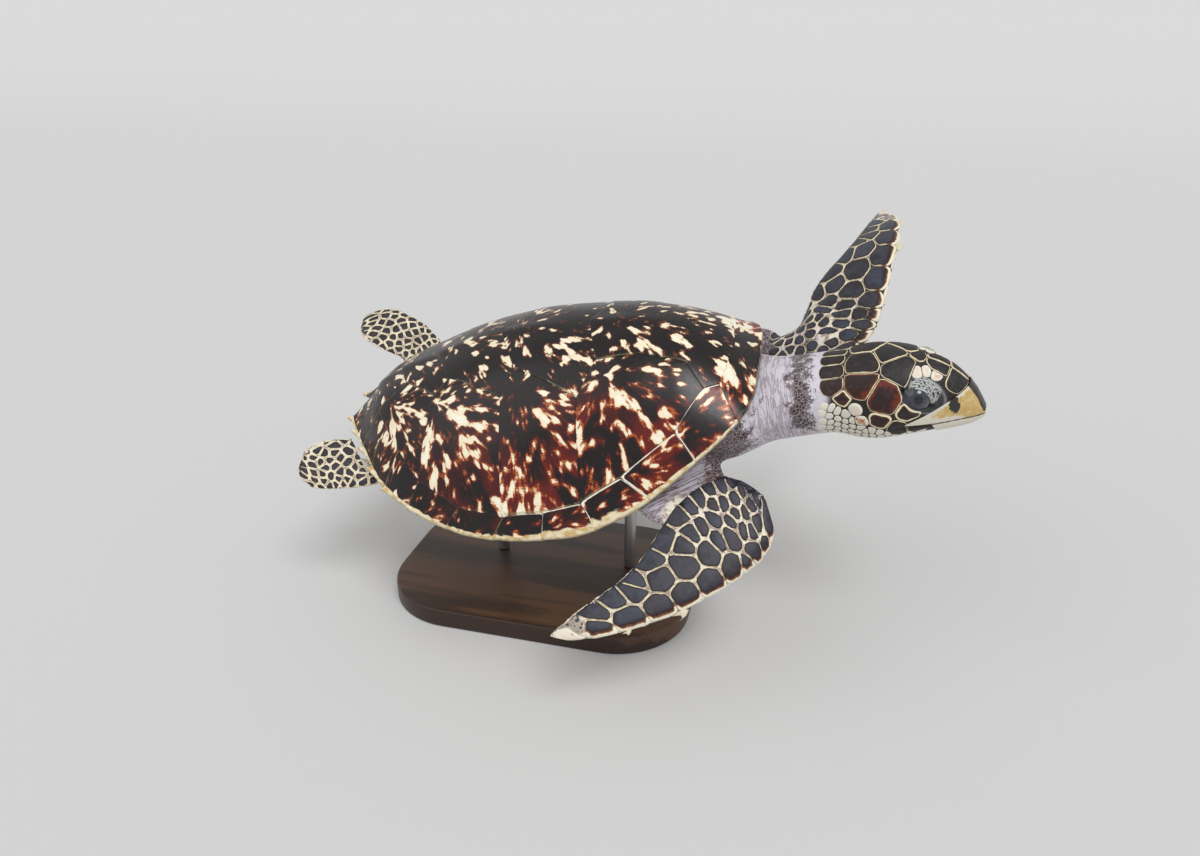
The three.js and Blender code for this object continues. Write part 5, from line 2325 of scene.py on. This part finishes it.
@dataclass(frozen=True)
class HornFinish:
    """Polished tortoiseshell: near-black horn, red on the lower plates, with ragged cream
    flecks in amber halos."""

    dark: tuple = (0.010, 0.006, 0.0065)
    red: tuple = (0.125, 0.009, 0.006)
    halo: tuple = (0.42, 0.10, 0.022)
    cream: tuple = (0.88, 0.78, 0.56)
    level: float = 0.588  # how high the noise must be for a fleck

    def make(self) -> Material:
        """Makes the material.

        Returns:
            The material.
        """
        paint = Paint("tortoiseshell", Roughness=0.3, IOR=1.4, Coat_Weight=0.08,
                      Coat_Roughness=0.15)
        ray, seed = paint.vector("ray"), paint.attribute("plate") * 3.7
        warm = paint.attribute("warm")
        flecks, flames, fields = (
            paint.group(streak_group(), paint.place, ray, seed, scale, length * MM)
            for scale, length in ((138.0, 2.0), (330.0, 1.1), (34.0, 6.0)))
        level = flecks + (flames - 0.5) * 0.5 + (fields - 0.5) * 0.4
        level = level + paint.attribute("bright") - self.level
        around = level.mask(-0.11, -0.02) * 0.8 + fields.mask(0.48, 0.58) * warm
        seam = paint.attribute("seam") + flames * 0.8
        # a broken tan tint close to the plates' seams
        seam_edge_tint = seam.mask(0.95, 0.5) * flecks.mask(0.42, 0.55)
        rim = paint.attribute("rim") + flecks * 5.0
        edge = paint.mix(flames.mask(0.45, 0.6), (0.8, 0.72, 0.5), (0.62, 0.42, 0.16))
        paint.feed("Base Color", paint.layers(
            self.dark,
            (paint.math("MULTIPLY", warm, around, clamp=True), self.red),
            (paint.math("MULTIPLY", level.mask(-0.045, 0.0), warm + 0.45, clamp=True), self.halo),
            (level.mask(-0.004, 0.022), self.cream),
            (level.mask(0.05, 0.11), (0.92, 0.88, 0.74)),
            (seam_edge_tint * 0.55, (0.36, 0.3, 0.15)),
            (seam.mask(0.85, 0.6) * paint.attribute("paleline"), (0.88, 0.83, 0.72)),
            (rim.mask(3.75, 3.35), edge),
        ))
        grit = paint.grain(420.0, 3.0)
        paint.bump(flames * 0.6 + grit * 0.4, 0.15 * MM, 0.6)
        paint.feed("Roughness", grit * 0.2 + 0.2)
        return paint.material


@dataclass(frozen=True)
class ScaleFinish:
    """The horny scales: a slate, olive or red-brown field in a cream margin."""

    slate: tuple = (0.042, 0.048, 0.072)
    olive: tuple = (0.02, 0.018, 0.014)
    warm: tuple = (0.04, 0.011, 0.008)
    cream: tuple = (0.82, 0.72, 0.5)

    def make(self) -> Material:
        """Makes the material.

        Returns:
            The material.
        """
        paint = Paint("scales", Roughness=0.45, IOR=1.38)
        pale, warm, tone = paint.apart(paint.vector("look"))
        cloud, broad = paint.grain(330.0, 3.0, 0.6), paint.grain(95.0, 2.0)
        swing = cloud - 0.5
        inset = paint.attribute("inset") + swing * 1.1
        rim = paint.mix(warm.mask(0.3, 0.9), (0.022, 0.012, 0.01), (0.17, 0.045, 0.012))
        fringe = paint.attribute("fringe") + swing * 0.35 + inset.mask(3.0, 0.0) * 0.34
        ghost = pale - cloud.mask(0.5, 0.72) * 0.4
        amber = warm * 0.8 * inset.mask(0.4, 1.8)
        paint.feed("Base Color", paint.layers(
            self.slate,
            (tone, self.olive),
            (warm, self.warm),
            (broad.mask(0.5, 0.68) * warm.mask(0.5, 1.0) * 0.8, (0.2, 0.022, 0.012)),
            (cloud.mask(0.42, 0.8) * 0.25, (0.12, 0.13, 0.15)),
            (broad.mask(0.52, 0.36) * 0.55, (0.016, 0.014, 0.018)),
            (inset.mask(2.0, 0.3) * 0.85, rim),
            (inset.mask(0.12, -0.14), self.cream),
            (fringe.mask(0.02, 0.3) * 0.85, (0.02, 0.010, 0.009)),
            (fringe.mask(0.3, 0.5) * 0.9, (0.22, 0.065, 0.016)),
            (fringe.mask(0.48, 0.62), (0.84, 0.78, 0.62)),
            (ghost.mask(0.25, 0.6), paint.mix(amber, (0.8, 0.76, 0.66), (0.55, 0.2, 0.045))),
        ))
        paint.feed("Roughness", cloud * 0.22 + 0.36)
        paint.bump(cloud, 0.12 * MM, 0.6)
        return paint.material


@dataclass(frozen=True)
class SkinFinish:
    """Wrinkled skin: lavender white, cream between the blades' scales, with brown speckles where
    it is dusky, wrinkle lines painted brown as shade, and grey lids with a painted highlight on top."""

    white: tuple = (0.66, 0.62, 0.69)
    cream: tuple = (0.8, 0.74, 0.62)
    brown: tuple = (0.05, 0.022, 0.022)
    stain: tuple = (0.13, 0.055, 0.03)

    def make(self) -> Material:
        """Makes the material.

        Returns:
            The material.
        """
        paint = Paint("skin", Roughness=0.5, IOR=1.42)
        blade, dusk, lid = paint.apart(paint.vector("zones"))
        cells = paint.add("TexVoronoi", {"Vector": paint.place, "Scale": 430.0},
                          feature="DISTANCE_TO_EDGE")[0]
        cloud, speck = paint.grain(160.0, 4.0, 0.65), paint.grain(620.0, 3.0)
        _, left, up = paint.apart(paint.place)
        way = {0: paint.attribute("fold") * 0.3, 1: left * 38.0, 2: up * 38.0}
        wrinkle = paint.grain(1.0, 3.0, 0.6, paint.add("CombineXYZ", way)[0])
        bend = paint.math("ABSOLUTE", wrinkle - 0.5)
        wrinkle_grooves_and_shade = bend.mask(0.05, 0.008) * paint.attribute("crease")
        spots = dusk * 0.42 + cloud * 0.8 - cells.mask(0.0, 0.3) * 0.12
        rings = paint.math("SINE", paint.attribute("lidring") + cloud * 3.0)
        lids = paint.layers(
            (0.04, 0.042, 0.045),
            # painted highlight on the top of the upper lid
            (paint.attribute("lidlight").mask(0.3, 0.75), (0.5, 0.52, 0.5)),
            (speck.mask(0.5, 0.6), (0.035, 0.033, 0.035)),
            (rings.mask(0.3, 0.9) * 0.6, (0.03, 0.03, 0.035)),
        )
        paint.feed("Base Color", paint.layers(
            self.white,
            (blade, paint.mix(cloud.mask(0.46, 0.58) * 0.75, self.cream, self.stain)),
            (cloud.mask(0.42, 0.78) * 0.35, (0.5, 0.38, 0.47)),
            (spots.mask(0.53, 0.66), self.brown),
            # painted shade: the wrinkle lines are painted brown for the shade in their creases, and
            # also pressed in as grooves
            (wrinkle_grooves_and_shade * 0.8, (0.13, 0.055, 0.05)),
            (cells.mask(0.14, 0.0) * (dusk * 0.5), (0.7, 0.66, 0.72)),
            (paint.attribute("shade"), (0.02, 0.014, 0.012)),
            (lid, lids),
        ))
        depth = cells.mask(0.0, 0.25) * 0.5 - wrinkle_grooves_and_shade * 1.6 + cloud * 0.5 + rings * lid * 0.5
        paint.bump(depth, 0.3 * MM, 0.8)
        return paint.material


@dataclass(frozen=True)
class BillFinish:
    """The bill's horn: amber, pale at the cutting edges and below, with a ragged dark patch, and
    with painted shade: a dark ridge along the top and a dark line along the mouth's gap."""

    amber: tuple = (0.55, 0.36, 0.1)
    pale: tuple = (0.7, 0.66, 0.55)
    dark: tuple = (0.018, 0.015, 0.013)

    def make(self) -> Material:
        """Makes the material.

        Returns:
            The material.
        """
        paint = Paint("bill_horn", Roughness=0.34, IOR=1.5, Coat_Weight=0.2, Coat_Roughness=0.2)
        pale, ridge, patch = paint.apart(paint.vector("bill"))
        grain = paint.grain(240.0, 4.0, 0.65)
        shift = (grain - 0.5) * 1.5
        paint.feed("Base Color", paint.layers(
            self.amber,
            (grain.mask(0.35, 0.7), (0.66, 0.5, 0.24)),
            ((pale + shift).mask(0.3, 0.75), self.pale),
            ((patch + shift).mask(0.42, 0.55), self.dark),
            # painted shade along the bill's ridge
            ((ridge + shift).mask(0.4, 0.6), self.dark),
            # painted shadow: a dark brown line along the gap between the upper and the lower bill
            ((paint.attribute("edge") + shift).mask(0.9, 0.3), (0.1, 0.06, 0.03)),
        ))
        paint.bump(grain, 0.15 * MM, 0.7)
        return paint.material


@dataclass(frozen=True)
class EyeFinish:
    """The wet eyeball: a dark blue-grey iris round a black pupil, in a dark rim."""

    iris: tuple = (0.022, 0.024, 0.042)
    pupil: tuple = (0.003, 0.003, 0.005)
    rim: tuple = (0.012, 0.012, 0.018)

    def make(self) -> Material:
        """Makes the material.

        Returns:
            The material.
        """
        paint = Paint("eyeball", Roughness=0.12, IOR=1.4, Coat_Weight=0.8, Coat_Roughness=0.02)
        out = paint.apart(paint.vector("gaze"))[0]
        reach = paint.math("SQRT", paint.math("SUBTRACT", 1.0, out * out, clamp=True))
        paint.feed("Base Color", paint.layers(
            self.iris,
            (paint.grain(700.0, 3.0).mask(0.35, 0.7), (0.045, 0.048, 0.075)),
            (reach.mask(0.29, 0.22), self.pupil),
            (reach.mask(0.55, 0.75), self.rim),
        ))
        return paint.material


@dataclass(frozen=True)
class BellyFinish:
    """The belly plate's horn: straw yellow with faint brown clouds."""

    straw: tuple = (0.72, 0.56, 0.27)
    brown: tuple = (0.24, 0.1, 0.035)

    def make(self) -> Material:
        """Makes the material.

        Returns:
            The material.
        """
        paint = Paint("belly_horn", Roughness=0.38, IOR=1.5)
        cloud = paint.grain(24.0, 5.0, 0.6)
        paint.feed("Base Color", paint.layers(
            self.straw,
            (cloud.mask(0.5, 0.75) * 0.6, self.brown),
            (paint.attribute("seam").mask(1.1, 0.1) * 0.75, (0.14, 0.06, 0.025)),
        ))
        paint.bump(cloud, 0.4 * MM, 0.4)
        return paint.material


@dataclass(frozen=True)
class WoodFinish:
    """Dark oiled wood for the base, with its grain along the length."""

    dark: tuple = (0.03, 0.014, 0.008)
    light: tuple = (0.09, 0.042, 0.02)

    def make(self) -> Material:
        """Makes the material.

        Returns:
            The material.
        """
        paint = Paint("oiled_wood", Roughness=0.4, IOR=1.48)
        stretch = paint.add("Mapping", {"Vector": paint.place, "Scale": (1.2, 14.0, 14.0)})[0]
        bend = paint.grain(3.0, 3.0, 0.5, stretch)
        pores = paint.grain(22.0, 4.0, 0.7, stretch)
        _, across, up = paint.apart(stretch)
        bands = paint.math("SINE", across * 6.0 + bend * 9.0 + up * 2.5)
        share = bands.mask(-1.0, 1.0) + (pores - 0.5)
        paint.feed("Base Color", paint.mix(share.mask(0.1, 1.0), self.dark, self.light))
        paint.feed("Roughness", pores * 0.22 + 0.28)
        paint.bump(pores, 0.1 * MM, 0.4)
        return paint.material


@dataclass(frozen=True)
class PlainFinish:
    """A finish of one colour with a fine grain, whose depth is in metres."""

    name: str
    colour: tuple
    roughness: float
    metallic: float = 0.0
    grain: float = 0.04 * MM

    def make(self) -> Material:
        """Makes the material.

        Returns:
            The material.
        """
        paint = Paint(self.name, Metallic=self.metallic, IOR=1.5)
        grain = paint.grain(500.0, 3.0)
        dim = tuple(0.82 * c for c in self.colour)
        paint.feed("Base Color", paint.mix(grain, dim, self.colour))
        paint.feed("Roughness", grain * 0.12 + (self.roughness - 0.06))
        paint.bump(grain, self.grain, 0.5)
        return paint.material


# ---- the studio


@dataclass
class Studio:
    """A pale sweep of floor, soft lamps and the camera."""

    grey: float = 0.62  # colour of the floor
    ambient: float = 0.58  # strength of the even light
    lens: float = 28.51  # focal length, in millimetres
    sensor: float = 36.0  # width of the sensor, in millimetres
    eye: tuple = (0.2197, -0.6565, 0.4683)  # place of the camera
    right: tuple = (0.9662, 0.2579, 0.0)  # the direction across the picture
    view: tuple = (-0.2337, 0.8757, -0.4226)  # the direction that the camera looks in

    def build_floor(self) -> None:
        """Models the floor as a long sweep that curves up behind the object."""
        deselect_all()
        bpy.ops.mesh.primitive_plane_add(size=12)
        floor = bpy.context.object
        floor.name = "floor"

        def behind(edge: bmesh.types.BMEdge) -> bool:
            """Whether an edge lies where the floor meets the wall behind the object."""
            return all(v.co.y > 4 and v.co.z < 1 for v in edge.verts)

        with edit_mode(floor):
            bpy.ops.transform.translate(value=(0, -1, 0))
            pick_edges(floor, behind)
            bpy.ops.mesh.extrude_region_move(TRANSFORM_OT_translate={"value": (0, 0, 6)})
            pick_edges(floor, behind)
            bpy.ops.mesh.bevel(offset=2.6, segments=24, affect="EDGES")
        smooth_shade(floor)
        paint = Paint("floor", Roughness=0.9)
        paint.feed("Base Color", (self.grey,) * 3)
        floor.data.materials.append(paint.material)
        floor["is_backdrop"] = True

    def add_sun(self, name: str, source: tuple, strength: float, softness: float) -> None:
        """Adds a broad, soft light.

        Args:
            name: its name.
            source: the direction that the light comes from.
            strength: its strength.
            softness: how broad it is, in degrees.
        """
        lamp = bpy.data.lights.new(name, "SUN")
        lamp.energy = strength
        lamp.angle = math.radians(softness)
        holder = bpy.data.objects.new(name, lamp)
        holder.rotation_euler = Vector(source).to_track_quat("Z", "Y").to_euler()
        bpy.context.scene.collection.objects.link(holder)

    def build(self) -> None:
        """Sets up the floor, the light and the camera."""
        scene = bpy.context.scene
        self.build_floor()
        world = bpy.data.worlds.new("studio")
        world.use_nodes = True
        backdrop = world.node_tree.nodes["Background"]
        backdrop.inputs["Color"].default_value = (1.0, 1.0, 1.0, 1.0)
        backdrop.inputs["Strength"].default_value = self.ambient
        scene.world = world
        self.add_sun("key", (0.45, -0.55, 1.0), 1.45, 28)
        self.add_sun("side", (-0.9, -0.6, 0.9), 0.45, 50)
        camera = bpy.data.cameras.new("camera")
        camera.lens = self.lens
        camera.sensor_width = self.sensor
        holder = bpy.data.objects.new("camera", camera)
        right, view = Vector(self.right), Vector(self.view)
        turn = Matrix((right, right.cross(view), -view)).transposed().to_4x4()
        holder.matrix_world = Matrix.Translation(self.eye) @ turn
        scene.collection.objects.link(holder)
        scene.camera = holder
        scene.view_settings.view_transform = "Standard"


def write_sizes() -> None:
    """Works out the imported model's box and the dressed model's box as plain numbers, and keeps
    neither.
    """
    boxes = {"cad_box": CAD_BOX, "visual_box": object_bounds()}
    plain = {name: [[float(v) for v in corner] for corner in box] for name, box in boxes.items()}


def main() -> None:
    """Builds the animal and its stand in order, dresses them and lights them."""
    logging.basicConfig(level=logging.INFO, format="%(message)s")
    Shell().build(HornFinish().make())
    skin = Skin()
    hide = finish_piece(skin.build(), SkinFinish().make(), skin.flesh)
    surface = Surface(hide)
    scaly = ScaleFinish().make()
    HeadScales().build(surface, scaly)
    blades = []
    for blade in FLIPPERS:
        layout = FORE_LAYOUT if blade.paddle is FORE_PADDLE else HIND_LAYOUT
        blades.append(FlipperScales(blade, layout).build(surface, scaly))
    ArmScales().build(hide, surface, blades[1], scaly)
    BILL.build(BillFinish().make())
    iris = EyeFinish().make()
    for eye in EYES:
        eye.build(iris)
    Claws().build(PlainFinish("claw_horn", (0.75, 0.68, 0.5), 0.35).make())
    BellyPlate().build(BellyFinish().make())
    steel = PlainFinish("brushed_steel", (0.56, 0.56, 0.57), 0.32, 1.0, 0.015 * MM).make()
    Stand().build(WoodFinish().make(), steel)
    Studio().build()
    write_sizes()


if __name__ == "__main__":
    main()
